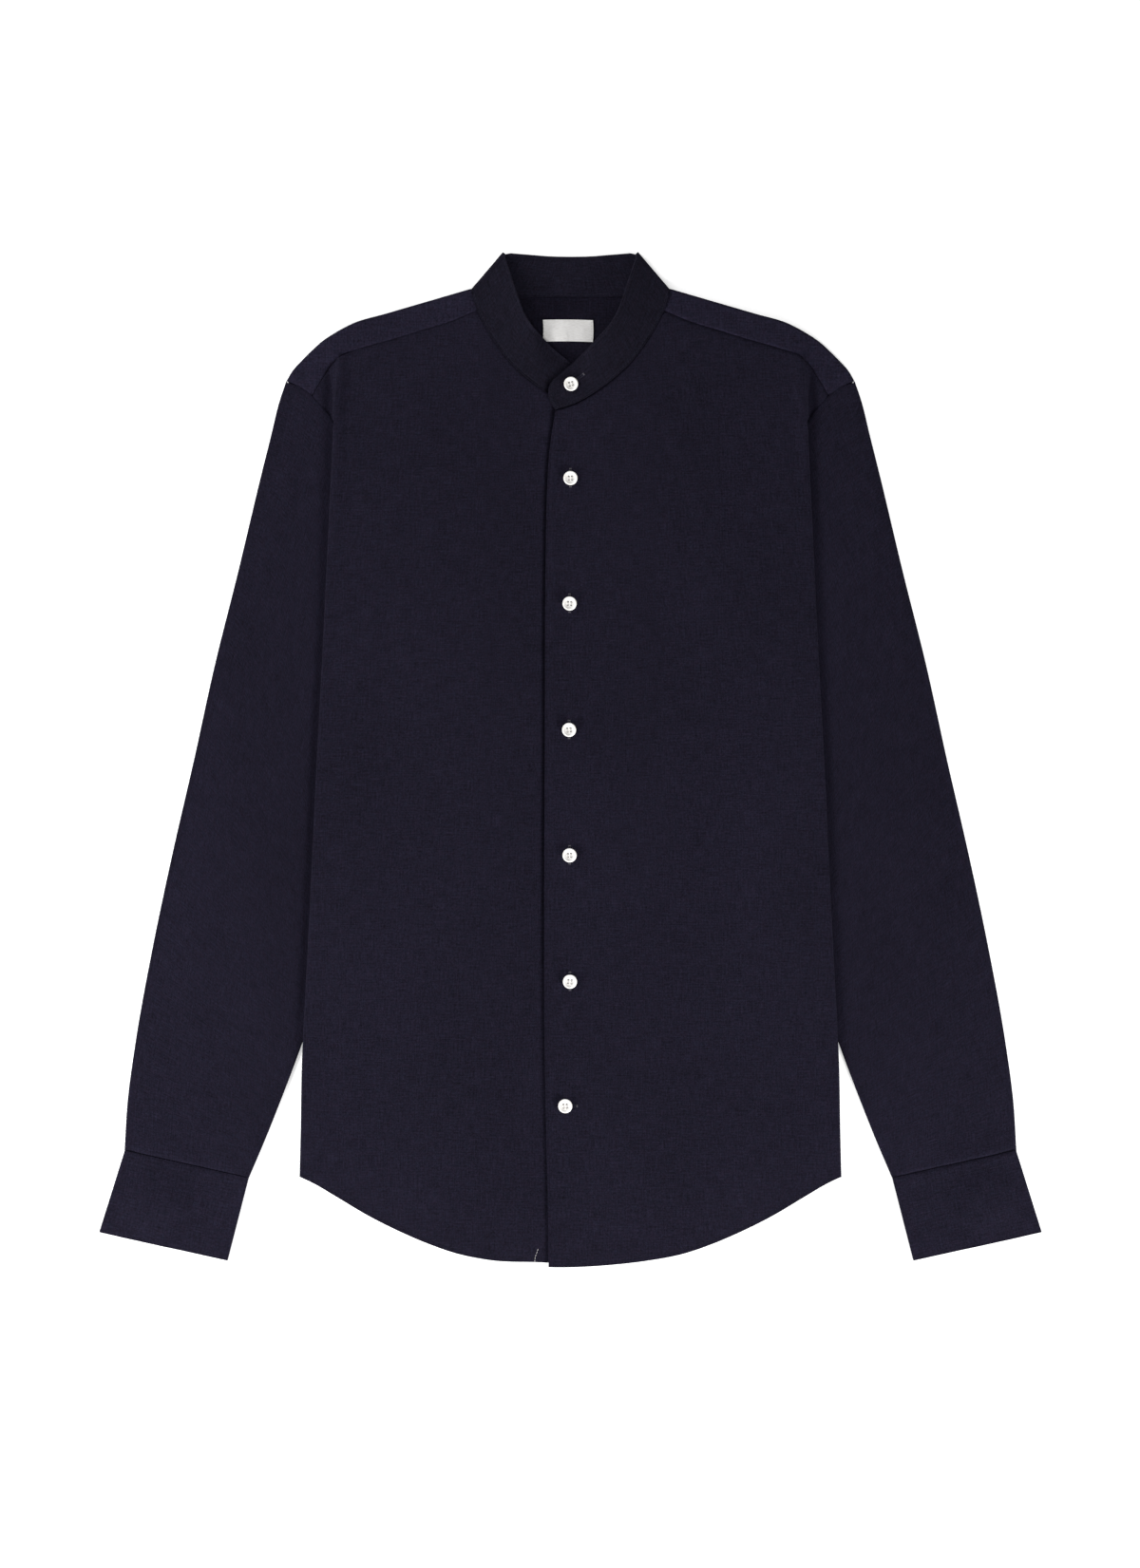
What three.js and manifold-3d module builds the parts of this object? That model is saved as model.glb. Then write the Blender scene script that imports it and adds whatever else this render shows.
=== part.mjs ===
// A long-sleeved shirt with a mandarin (band) collar, buttoned and laid flat on its back.
// The sleeves are turned down and lie behind the body, so the sides of the fronts fold over them.
// Millimetres. +Z is up from the surface, +Y points to the collar, +X to the wearer's left.
// The origin is the middle of the shirt's outline, on the surface that it lies on.
// Every cloth piece is a grid of points in the middle of its wall, thickened along its normals.
import * as THREE from "three";
import Module from "manifold-3d";
import { mergeVertices } from "three/addons/utils/BufferGeometryUtils.js";

// Driving sizes
const CLOTH = 1.0; // wall of one panel
const COLLAR_WALL = 1.6; // two plies and a stiffener
const CUFF_WALL = 1.4;
const HALF_SEAM = 0.2; // each piece stops this far from its seam line
const GAP = 0.3; // between pieces that lie on each other
const BUTTON_DIAMETER = 11;
const BUTTON_HEIGHT = 2.4;
const LABEL_SIZE = [39, 17, 1]; // width, depth, thickness
const LABEL_CENTRE = [-2, 334.5];
const BACK_YOKE_SEAM_Y = 268;

// Heights of the middle of each wall above the surface
const FLOOR_PLY = CLOTH / 2;
const FOLD_RADIUS = 0.8; // sharpest fold of one ply
const SLEEVE_PLY = FLOOR_PLY + 2 * FOLD_RADIUS; // upper ply of a sleeve under the body
const RETURN_PLY = 3.55; // turned-under side of a front, lying on the sleeve
const FRONT_PLY = RETURN_PLY + 2 * FOLD_RADIUS - 0.05;
const CAP_PLY = 2.75; // cloth at the shoulder end, where the sleeve is set in
const SLEEVE_PUFF = 1.1; // how far the middle of a sleeve stands up
const HEM_DROP = 2.2; // fall of the fronts to the hem between the sleeves
const BODY_LOFT = 1.4; // and the air under them above it
const PLACKET_DIP = 1.05; // the wearer's right front runs lower where the left one covers it
const PLACKET_RISE = 0.45;
const COLLAR_BACK = COLLAR_WALL / 2;
const COLLAR_SIDE_RADIUS = 1.9; // side folds of the collar
const COLLAR_OVER = 5.05; // buttoned end of the collar, on top
const COLLAR_UNDER = 2.9; // the end that it covers
const COLLAR_LIFT = 3; // how far the front neck edge stands off the back

// Outlines of one half in plan, as [x, y] points that a smooth curve passes through
const SHOULDER = path([
  [77.5, 367.2], [143.9, 347.8], [169.1, 340.4], [183.2, 333], [194.3, 325.6],
  [202.4, 318.2], [209.8, 310.8], [216.5, 303.4], [221.3, 295.3],
]);
const SLEEVE_OUTER = path([
  [221.3, 295.3], [226.1, 281.2], [233.5, 251.6], [240.9, 222], [258.6, 148], [277.1, 74],
  [293.4, 0], [310.4, -74], [326, -148], [339.3, -222], [345.2, -266.4], [347.6, -304.2],
]);
const SLEEVE_INNER = path([
  [126.4, 43.6], [167, -88], [210.5, -225], [226.1, -266.4], [237.9, -296], [250.6, -325.8],
]);
const ARMHOLE_FRONT = path([
  [221.3, 295.3], [212.4, 291.6], [206.5, 287.9], [201.1, 283.4], [194.3, 276],
  [186.5, 266.5], [172, 228], [155, 165], [138, 98], [125.4, 44.4],
]);
const ARMHOLE_BACK = path([
  [221.3, 295.3], [209, BACK_YOKE_SEAM_Y], [190, 215], [168, 150], [145, 90], [125.4, 44.4],
]);
const YOKE_SEAM = path([
  [72.9, 350], [92.5, 341.6], [116.2, 334.3], [140.6, 326.8], [162.8, 321.5], [172.4, 319], [181.3, 314.5],
]);
const YOKE_SEAM_END = path([[181.3, 314.5], [186.5, 308.2], [190.9, 299.7], [196.1, 292.3], [201.1, 283.4]]);
const NECK_FRONT = path([
  [-11.8, 272.8], [1.9, 277.2], [13.3, 282.9], [24.6, 290.4], [36, 299.2], [47.4, 310], [57.5, 323.2],
  [65.8, 336], [72.9, 350],
]);
const NECK_SIDE = path([[72.9, 350], [75.4, 358], [77.5, 367.2]]);
const NECK_BACK = path([[77.5, 367.2], [60, 363], [39, 361.3], [0, 361]]);
const COLLAR_EDGE = path([
  [-12.5, 296.8], [-2.7, 305.4], [1.5, 308.8], [13.8, 320.5], [22, 329], [31, 339.3],
  [37, 349.5], [40.9, 360], [45.9, 375.5], [52.8, 395.5],
]);
const COLLAR_BACK_EDGE = path([[52.8, 395.5], [43, 394.6], [29.2, 393.5], [15, 392.4], [0, 392.1]]);
const COLLAR_END = path([[-11.8, 273.2], [-15.8, 279.2], [-17.2, 287.1], [-16.3, 291.7], [-12.5, 296.8]]);
const SIDE_FOLD = path([
  [180.6, 340], [181.3, 314.5], [182.8, 297.5], [184.8, 267], [185.6, 242.7],
  [209, -225], [210.4, -296], [211.3, -330],
]);
const FRONT_EDGE = path([
  [-10, 290], [-12.6, 269.4], [-17, 239.8], [-19.2, 210.2], [-20.4, 160], [-20.9, 0], [-21, -86],
  [-20, -234], [-18.5, -293], [-16.3, -352], [-15.6, -396],
]);
const SIDE_SEAM = path([[125.4, 44.4], [152.8, -111], [160.2, -215], [161, -312]]);
const FRONT_HEM = path([
  [-25, -395.4], [0, -395.5], [27.4, -394], [56.2, -390.9], [88.1, -384.8], [109.2, -377.6], [127.3, -370],
  [157.3, -355.2], [182.4, -340.4], [200, -330.2], [211.3, -324.8],
]);
const BACK_HEM = path([[0, -387], [50, -381], [85, -367], [115, -347], [140, -328], [161, -312]]);
const UNDER_HEM_LIFT = 2.6; // the covered front is a little shorter at the middle
const CUFF_CORNERS = {
  outerTop: [347.5, -304.6], innerTop: [250.7, -326.2], outerHem: [367.4, -368.2], innerHem: [267.1, -390.4],
};
const BUTTONS = [
  { name: "button_collar", x: 0.4, y: 292.7 },
  { name: "button_front_1", x: 0, y: 219.4 },
  { name: "button_front_2", x: -0.7, y: 121.7 },
  { name: "button_front_3", x: -1.1, y: 23.3 },
  { name: "button_front_4", x: -0.7, y: -74.4 },
  { name: "button_front_5", x: -0.4, y: -172.8 },
  { name: "button_front_6", x: -4.1, y: -269.7 },
];

const NAVY = new THREE.MeshStandardMaterial({ color: 0x1f1d29, roughness: 0.92, metalness: 0 });
const PEARL = new THREE.MeshStandardMaterial({ color: 0xe9e6e1, roughness: 0.35, metalness: 0 });
const WHITE_TAPE = new THREE.MeshStandardMaterial({ color: 0xd9d5d0, roughness: 0.8, metalness: 0 });

// Small maths
function mix(a, b, t) {
  return a + (b - a) * t;
}
function smooth(t) {
  const s = Math.min(1, Math.max(0, t));
  return s * s * (3 - 2 * s);
}
function mixPoint(a, b, t) {
  return [mix(a[0], b[0], t), mix(a[1], b[1], t)];
}
function distance(a, b) {
  return Math.hypot(a[0] - b[0], a[1] - b[1]);
}
function steps(from, to, count) {
  return Array.from({ length: count + 1 }, (_, i) => mix(from, to, i / count));
}

// A smooth curve through points, as a function of the share of its length.
function path(points) {
  const spans = points.slice(1).map((p, i) => distance(p, points[i]));
  const total = spans.reduce((a, b) => a + b, 0);
  const last = points.length - 1;
  const slope = (i, axis) => (points[i + 1][axis] - points[i][axis]) / spans[i];
  const tangent = (i, axis) => {
    if (i === 0) return slope(0, axis);
    if (i === last) return slope(last - 1, axis);
    return (slope(i - 1, axis) * spans[i] + slope(i, axis) * spans[i - 1]) / (spans[i - 1] + spans[i]);
  };
  return (share) => {
    let along = share * total;
    let i = 0;
    while (i < last - 1 && along > spans[i]) along -= spans[i++];
    const t = along / spans[i];
    const h = spans[i];
    return [0, 1].map(
      (axis) =>
        (2 * t ** 3 - 3 * t ** 2 + 1) * points[i][axis] +
        (t ** 3 - 2 * t ** 2 + t) * h * tangent(i, axis) +
        (3 * t ** 2 - 2 * t ** 3) * points[i + 1][axis] +
        (t ** 3 - t ** 2) * h * tangent(i + 1, axis),
    );
  };
}

// The other coordinate of a curve at a given x (axis 0) or y (axis 1).
function lookUp(curve, axis) {
  const samples = steps(0, 1, 400).map(curve);
  const rising = samples[samples.length - 1][axis] > samples[0][axis];
  if (!rising) samples.reverse();
  return (value) => {
    let i = samples.findIndex((p) => p[axis] > value);
    if (i === -1) i = samples.length - 1;
    if (i === 0) i = 1;
    const [a, b] = [samples[i - 1], samples[i]];
    return mix(a[1 - axis], b[1 - axis], (value - a[axis]) / (b[axis] - a[axis]));
  };
}

// The share of a curve at which it reaches a given y.
function shareAtY(curve, y) {
  let [low, high] = [0, 1];
  const falling = curve(0)[1] > curve(1)[1];
  for (let i = 0; i < 40; i++) {
    const middle = (low + high) / 2;
    if (curve(middle)[1] > y === falling) low = middle;
    else high = middle;
  }
  return (low + high) / 2;
}

// A point of a curve moved sideways, to the left of its direction of travel.
function beside(curve, share, offset) {
  const step = 1e-3;
  const a = curve(Math.max(0, share - step));
  const b = curve(Math.min(1, share + step));
  const length = distance(a, b);
  const p = curve(share);
  return [p[0] - ((b[1] - a[1]) / length) * offset, p[1] + ((b[0] - a[0]) / length) * offset];
}

const foldX = lookUp(SIDE_FOLD, 1);
const frontEdgeX = lookUp(FRONT_EDGE, 1);
const innerX = lookUp(SLEEVE_INNER, 1);
const frontHemY = lookUp(FRONT_HEM, 0);
const backHemY = lookUp(BACK_HEM, 0);
const UNDERARM = ARMHOLE_FRONT(1);
const OUTER_SAMPLES = [...steps(0, 1, 40).map(SHOULDER), ...steps(0, 1, 60).map(SLEEVE_OUTER)];
const INNER_SAMPLES = steps(0, 1, 60).map(SLEEVE_INNER);
const nearest = (samples, p) => Math.min(...samples.map((q) => distance(p, q)));

// Heights. A point is given by its distance x from the middle line and by y.
const RETURN_SLOPE = 22; // the turned-under cloth comes down to the surface over this width
const CLEAR = 4; // and starts to do so this far past the sleeve
const FRONT_SLOPE = 40;
const HEM_SLOPE = 45;
const EDGE_SLOPE = 30;
const UNDERARM_SLOPE = 14;
const ARMHOLE_LEAN = 4; // above the underarm the slope moves in by 1 mm for each of these
const SHOULDER_PLY = 3.55; // top of the fold along the shoulder
// The step beside the side fold: the y that it opens between, and its width at both
const SIDE_FOLD_OPENS = { low: 262, high: 317, narrow: 1.6, wide: 20 };
const FOLD_TROUGH = { inside: 11, width: 5, depth: 0.7, low: 200, high: 330, fade: 40 };
const CAP_SLOPE = { start: 120, length: 120 };
function overSleeve(x, y, width) {
  const inside = x - innerX(Math.min(y, UNDERARM[1]));
  const lean = Math.max(0, y - UNDERARM[1]) / ARMHOLE_LEAN;
  return smooth(1 + (inside + lean + CLEAR) / width);
}
function returnHeight(x, y) {
  return mix(FLOOR_PLY, RETURN_PLY, y > UNDERARM[1] ? 1 : overSleeve(x, y, RETURN_SLOPE));
}
function backHeight(x, y) {
  const belowUnderarm = smooth((UNDERARM[1] - y) / UNDERARM_SLOPE);
  return mix(FLOOR_PLY, RETURN_PLY, overSleeve(x, y, RETURN_SLOPE) * belowUnderarm);
}
// Upper ply of the body: the fronts and the part of the yoke that shows.
function frontHeight(x, y) {
  const lifted = overSleeve(x, y, FRONT_SLOPE);
  const hemX = Math.min(Math.max(x, FRONT_HEM(0)[0]), FRONT_HEM(1)[0]);
  const loft = BODY_LOFT * smooth((y - frontHemY(hemX)) / HEM_SLOPE);
  const middle = FRONT_PLY + (loft - HEM_DROP) * (1 - lifted);
  const folded = mix(SHOULDER_PLY, middle, smooth(nearest(OUTER_SAMPLES, [x, y]) / EDGE_SLOPE));
  const opens = SIDE_FOLD_OPENS;
  const openness = Math.min(1, Math.max(0, (y - opens.low) / (opens.high - opens.low)));
  const pastFold = y > opens.low ? (x - foldX(y) + CLOTH) / mix(opens.narrow, opens.wide, openness) : 0;
  const trough = FOLD_TROUGH;
  const across = Math.exp(-(((foldX(y) - trough.inside - x) / trough.width) ** 2));
  const along = smooth((y - trough.low) / trough.fade) * smooth((trough.high - y) / trough.fade);
  return mix(folded, CAP_PLY, smooth(pastFold)) - trough.depth * across * along;
}
function sleeveHeight(x, y) {
  const showing = smooth((x - foldX(y) + 2) / UNDERARM_SLOPE);
  const fromInner = y < UNDERARM[1] ? nearest(INNER_SAMPLES, [x, y]) : Infinity;
  const fromEdges = smooth(nearest(OUTER_SAMPLES, [x, y]) / EDGE_SLOPE) * smooth(fromInner / EDGE_SLOPE);
  const fromFold = smooth((x - foldX(y)) / EDGE_SLOPE);
  const cap = (CAP_PLY - SLEEVE_PLY) * showing * smooth((y - CAP_SLOPE.start) / CAP_SLOPE.length);
  const fromCap = smooth((SLEEVE_OUTER(0)[1] - y) / (3 * EDGE_SLOPE));
  return SLEEVE_PLY + cap + SLEEVE_PUFF * fromEdges * fromFold * fromCap;
}

// Turns a grid of points (rows of [x, y, z]) into a closed wall. `loop` joins the last row to the first.
function wall(name, grid, thickness, material, loop = false) {
  const rows = grid.length;
  const cols = grid[0].length;
  const at = (i, j) => new THREE.Vector3(...grid[i][j]);
  const before = (i) => (loop ? (i + rows - 1) % rows : Math.max(0, i - 1));
  const after = (i) => (loop ? (i + 1) % rows : Math.min(rows - 1, i + 1));
  const positions = [];
  for (const side of [0.5, -0.5]) {
    for (let i = 0; i < rows; i++) {
      for (let j = 0; j < cols; j++) {
        const along = at(after(i), j).sub(at(before(i), j));
        const across = at(i, Math.min(cols - 1, j + 1)).sub(at(i, Math.max(0, j - 1)));
        const normal = along.cross(across).normalize();
        positions.push(...at(i, j).addScaledVector(normal, side * thickness).toArray());
      }
    }
  }
  const id = (side, i, j) => side * rows * cols + i * cols + j;
  const faces = [];
  const quad = (a, b, c, d) => faces.push(a, b, c, a, c, d);
  const lastRow = loop ? rows : rows - 1;
  for (let i = 0; i < lastRow; i++) {
    const next = (i + 1) % rows;
    for (let j = 0; j < cols - 1; j++) {
      quad(id(0, i, j), id(0, next, j), id(0, next, j + 1), id(0, i, j + 1));
      quad(id(1, i, j), id(1, i, j + 1), id(1, next, j + 1), id(1, next, j));
    }
    quad(id(0, i, 0), id(1, i, 0), id(1, next, 0), id(0, next, 0));
    quad(id(0, next, cols - 1), id(1, next, cols - 1), id(1, i, cols - 1), id(0, i, cols - 1));
  }
  for (let j = 0; !loop && j < cols - 1; j++) {
    quad(id(0, 0, j + 1), id(1, 0, j + 1), id(1, 0, j), id(0, 0, j));
    quad(id(0, rows - 1, j), id(1, rows - 1, j), id(1, rows - 1, j + 1), id(0, rows - 1, j + 1));
  }
  const geometry = new THREE.BufferGeometry();
  geometry.setAttribute("position", new THREE.Float32BufferAttribute(positions, 3));
  geometry.setIndex(faces);
  if (signedVolume(geometry) < 0) {
    for (let f = 0; f < faces.length; f += 3) [faces[f + 1], faces[f + 2]] = [faces[f + 2], faces[f + 1]];
    geometry.setIndex(faces);
  }
  geometry.computeVertexNormals();
  const mesh = new THREE.Mesh(geometry, material.clone());
  mesh.name = name;
  return mesh;
}
function signedVolume(geometry) {
  const p = geometry.getAttribute("position");
  const f = geometry.getIndex().array;
  const v = (i) => new THREE.Vector3().fromBufferAttribute(p, f[i]);
  let volume = 0;
  for (let i = 0; i < f.length; i += 3) volume += v(i).dot(v(i + 1).cross(v(i + 2)));
  return volume / 6;
}
// The same grid for the other half of the shirt.
function mirrored(grid) {
  return grid.map((row) => row.map(([x, y, z]) => [-x, y, z]));
}
// Points of a half turn from the upper ply to the lower one. `rim` is its outermost point in plan.
function halfTurn(rim, inward, upper, lower, half, turns) {
  const radius = (upper - lower) / 2;
  return turns.map((turn) => {
    const inset = half + radius * (1 - Math.sin(turn));
    return [rim[0] + inward[0] * inset, rim[1] + inward[1] * inset, lower + radius + radius * Math.cos(turn)];
  });
}
function unit(from, to) {
  const length = distance(from, to);
  return [(to[0] - from[0]) / length, (to[1] - from[1]) / length];
}

// Fronts. Rows run from the neck and yoke seam down to the hem.
// Columns run from the front edge round the side fold.
const FOLD_TOP_Y = 314.5;
const FOLD_HEM_Y = -324.8;
const NECK_SHARES = [0, 0.085, 0.17, 0.265, 0.36, 0.455, 0.55, 0.645, 0.74, 0.82, 0.91];
const YOKE_SHARES = [0, 0.18, 0.38, 0.58, 0.78, 0.9, 1];
const YOKE_END_SHARES = [0.12, 0.25, 0.38, 0.5, 0.62, 0.75, 0.88, 1];
// Shares of the armhole curve at which the topmost rows end, outside the fold line.
const ARMHOLE_A = shareAtY(ARMHOLE_FRONT, 283.4);
const ARMHOLE_CROSSING = shareAtY(ARMHOLE_FRONT, 266.5);
const OPEN_ROWS = [
  { share: 0, armhole: ARMHOLE_A },
  { share: 0.013, armhole: mix(ARMHOLE_A, ARMHOLE_CROSSING, 0.35) },
  { share: 0.034, armhole: mix(ARMHOLE_A, ARMHOLE_CROSSING, 0.7) },
  { share: 0.0735, armhole: ARMHOLE_CROSSING },
];
const HIDDEN_ARMHOLE = steps(ARMHOLE_CROSSING, 1, 6).slice(1);
const SIDE_SEAM_SHARES = [0.14, 0.28, 0.42, 0.56, 0.68, 0.78, 0.86, 0.93, 1];
const foldShare = (y) => (FOLD_TOP_Y - y) / (FOLD_TOP_Y - FOLD_HEM_Y);
const FRONT_ROWS = [
  ...OPEN_ROWS.map((row) => ({ ...row, edge: beside(ARMHOLE_FRONT, row.armhole, -HALF_SEAM), open: true })),
  ...HIDDEN_ARMHOLE.map((t) => {
    const edge = ARMHOLE_FRONT(t);
    return { share: foldShare(edge[1]), edge };
  }),
  ...SIDE_SEAM_SHARES.map((t) => {
    const edge = beside(SIDE_SEAM, t, HALF_SEAM);
    const share = mix(foldShare(UNDERARM[1]), 1, t);
    return { share, edge };
  }),
];
const TURNS = [Math.PI / 4, Math.PI / 2, (3 * Math.PI) / 4, Math.PI];

function frontGrid(layer) {
  const hemLift = (x) => layer.hemLift * (1 - smooth((x - LAP_EDGE) / HEM_SLOPE));
  const heightAt = (x, y) => frontHeight(x, y) + layer.offset(x);
  const crestX = (y) => foldX(y) - CLOTH / 2 - FOLD_RADIUS;
  const tops = [
    ...NECK_SHARES.map((t) => beside(NECK_FRONT, t, -HALF_SEAM)),
    ...YOKE_SHARES.map((t) => beside(YOKE_SEAM, t, -HALF_SEAM)),
  ];
  const hemStart = FRONT_EDGE(1)[0];
  const shareAcross = ([x, y]) => (x - frontEdgeX(y)) / (crestX(y) - frontEdgeX(y));
  return FRONT_ROWS.map((row, r) => {
    const across = tops.map((top) => {
      const f = Math.min(1, shareAcross(top));
      const hemX = mix(hemStart, crestX(FOLD_HEM_Y), f);
      const y = mix(top[1], frontHemY(hemX) + hemLift(hemX), row.share);
      const x = r === 0 ? top[0] : mix(frontEdgeX(y), crestX(y), f);
      return [x, y, heightAt(x, y)];
    });
    const crest = across[across.length - 1];
    if (row.open) {
      const strip = YOKE_END_SHARES.map((t) => {
        const straight = mixPoint(crest, row.edge, t);
        const [x, y] = r === 0 ? beside(YOKE_SEAM_END, t, -HALF_SEAM) : straight;
        return [x, y, frontHeight(x, y)];
      });
      strip[strip.length - 1] = [...row.edge, frontHeight(...row.edge)];
      return [...across, ...strip];
    }
    const lower = returnHeight(foldX(crest[1]) - 1, crest[1]);
    const rim = [foldX(crest[1]), crest[1]];
    const roll = halfTurn(rim, [-1, 0], crest[2], lower, CLOTH / 2, TURNS);
    crest[0] = rim[0] - CLOTH / 2 - (crest[2] - lower) / 2;
    const under = steps(0, 1, 4).slice(1).map((t) => {
      const [x, y] = mixPoint(roll[roll.length - 1], row.edge, t);
      return [x, y, returnHeight(x, y)];
    });
    return [...across, ...roll, ...under];
  });
}
const LAP_EDGE = 20; // half the lap of one front over the other
const LAP_SLOPE = 25;
const OVER = {
  hemLift: 0,
  offset: (x) => PLACKET_RISE * (1 - smooth((x - LAP_EDGE) / LAP_SLOPE)),
};
const UNDER = {
  hemLift: UNDER_HEM_LIFT,
  offset: (x) => -PLACKET_DIP * (1 - smooth((x - LAP_EDGE - 3) / LAP_SLOPE)),
};

// Back, below the yoke. Its sides follow the armholes and then the side seams.
const BACK_ARMHOLE_START = shareAtY(ARMHOLE_BACK, BACK_YOKE_SEAM_Y);
const BACK_ARMHOLE = steps(BACK_ARMHOLE_START, 1, 5);
const BACK_SIDE_SEAM_SHARES = [0.06, 0.16, 0.28, 0.42, 0.56, 0.7, 0.85, 1];
const BACK_COLUMNS = [-1, -0.9, -0.8, -0.66, -0.45, -0.2, 0, 0.2, 0.45, 0.66, 0.8, 0.9, 1];
function backGrid() {
  const sides = [
    ...BACK_ARMHOLE.map((t) => beside(ARMHOLE_BACK, t, -HALF_SEAM)),
    ...BACK_SIDE_SEAM_SHARES.map((t) => beside(SIDE_SEAM, t, -HALF_SEAM)),
  ];
  const top = BACK_YOKE_SEAM_Y - HALF_SEAM;
  return sides.map(([sideX, sideY]) => {
    const share = (BACK_YOKE_SEAM_Y - sideY) / (BACK_YOKE_SEAM_Y - BACK_HEM(1)[1]);
    return BACK_COLUMNS.map((c) => {
      const x = c * sideX;
      const y = mix(top, backHemY(Math.abs(c) * BACK_HEM(1)[0]), share);
      return [x, y, backHeight(Math.abs(x), y)];
    });
  });
}

// Yoke: one piece that runs from one front seam over the shoulder, behind the neck, to the other front seam.
const SEAM_SHARE = 0.0015; // half a seam, as a share of the shoulder's length
const YOKE_BOWED_ROWS = 4; // rows behind the shoulder fold that still follow its curve
function yokeGrid() {
  const seam = [
    ...YOKE_SHARES.map((t) => beside(YOKE_SEAM, t, HALF_SEAM)),
    ...YOKE_END_SHARES.map((t) => beside(YOKE_SEAM_END, t, HALF_SEAM)),
  ];
  const shares = seam.map((p) => distance(p, seam[0]) / distance(seam[seam.length - 1], seam[0]));
  const last = shares.length - 1;
  const inset = (t) => mix(SEAM_SHARE, 1 - SEAM_SHARE, t);
  const shoulderAt = (t) => SHOULDER(inset(t));
  const armholeAt = (t) => beside(ARMHOLE_FRONT, ARMHOLE_A * t, -HALF_SEAM);
  const front = [0, 0.4, 0.8].map((c) =>
    shares.map((t, i) => {
      const start = i === 0 ? beside(NECK_SIDE, c, -HALF_SEAM) : seam[i];
      const free = mixPoint(start, shoulderAt(t), c);
      const [x, y] = i === 0 ? start : i === last ? armholeAt(1 - c) : free;
      return [x, y, frontHeight(x, y)];
    }),
  );
  const rims = shares.map((t) => {
    const rim = shoulderAt(t);
    const inside = beside(shoulderAt, t, -2 * CLOTH);
    return halfTurn(rim, unit(rim, inside), frontHeight(...inside), FLOOR_PLY, CLOTH / 2, [0, ...TURNS]);
  });
  const roll = [0, ...TURNS].map((_, k) => rims.map((points) => points[k]));
  const corner = ARMHOLE_BACK(BACK_ARMHOLE_START);
  const outer = [
    beside(ARMHOLE_BACK, BACK_ARMHOLE_START / 2, -HALF_SEAM),
    ...[1, 0.82, 0.62, 0.42, 0.2, 0].map((s) => [(corner[0] - HALF_SEAM) * s, corner[1] + HALF_SEAM]),
  ];
  const neck = BACK_NECK_SHARES.map((t) => NECK_BACK(t));
  const chord = (t) => mixPoint(SHOULDER(0), SHOULDER(1), t);
  const back = outer.map((end, k) =>
    shares.map((t) => {
      const straight = mixPoint(neck[k], end, inset(t));
      const bow = Math.max(0, 1 - (k + 1) / YOKE_BOWED_ROWS);
      const [x, y] = [0, 1].map((axis) => straight[axis] + bow * (SHOULDER(t)[axis] - chord(t)[axis]));
      return [x, y, FLOOR_PLY];
    }),
  );
  const half = [...front, ...roll, ...back];
  const other = mirrored(half.slice(0, -1)).reverse();
  return [...half, ...other];
}

// Sleeve: a flattened tube.
// Each ring runs over the upper ply, round the inner fold and back along the lower ply.
const UPPER_SHARES = [0.2, 0.4, 0.6, 0.8].map((t) => t * ARMHOLE_A).concat(
  OPEN_ROWS.map((row) => row.armhole),
  HIDDEN_ARMHOLE.slice(0, -1),
);
const LOWER_SHARES = [...BACK_ARMHOLE.slice(0, -1).reverse(), BACK_ARMHOLE_START / 2];
const RING_SHARES = [0, 0.035, 0.08, 0.14, 0.21, 0.29, 0.38, 0.48, 0.58, 0.68, 0.78, 0.87, 0.94, 1];
const ARMHOLE_REACH = 0.5; // share of the sleeve's length that keeps some of the armhole's curve
const RING_LAST = 0.9995; // the last ring stops half a seam short of the cuff
function sleeveGrid() {
  const chordShare = (p) => {
    const [a, b] = [ARMHOLE_FRONT(0), ARMHOLE_FRONT(1)];
    const along = (p[0] - a[0]) * (b[0] - a[0]) + (p[1] - a[1]) * (b[1] - a[1]);
    return along / distance(a, b) ** 2;
  };
  const rings = RING_SHARES.map((share, ring) => {
    const t = Math.min(share, RING_LAST);
    const outer = SLEEVE_OUTER(t);
    const inner = SLEEVE_INNER(t);
    const inward = unit(outer, inner);
    const fade = (1 - smooth(share / ARMHOLE_REACH)) ** 1.5;
    const place = (curve, s) => {
      const root = ring === 0 ? beside(curve, s, HALF_SEAM) : curve(s);
      const a = chordShare(curve(s));
      const [p, q] = [mixPoint(outer, inner, a), mixPoint(ARMHOLE_FRONT(0), ARMHOLE_FRONT(1), a)];
      return [p[0] + fade * (root[0] - q[0]), p[1] + fade * (root[1] - q[1])];
    };
    const upper = UPPER_SHARES.map((s) => {
      const [x, y] = place(ARMHOLE_FRONT, s);
      return [x, y, sleeveHeight(x, y)];
    });
    const lower = LOWER_SHARES.map((s) => [...place(ARMHOLE_BACK, s), FLOOR_PLY]);
    const edge = [outer[0] + inward[0] * 2 * CLOTH, outer[1] + inward[1] * 2 * CLOTH];
    const outerRoll = halfTurn(outer, inward, sleeveHeight(...edge), FLOOR_PLY, CLOTH / 2, [0, ...TURNS]);
    const outward = unit(inner, outer);
    const innerRoll = halfTurn(inner, outward, SLEEVE_PLY, FLOOR_PLY, CLOTH / 2, [0, ...TURNS]);
    return [...upper, ...innerRoll, ...lower, ...outerRoll.reverse()];
  });
  return rings[0].map((_, i) => rings.map((ring) => ring[i]));
}

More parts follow.
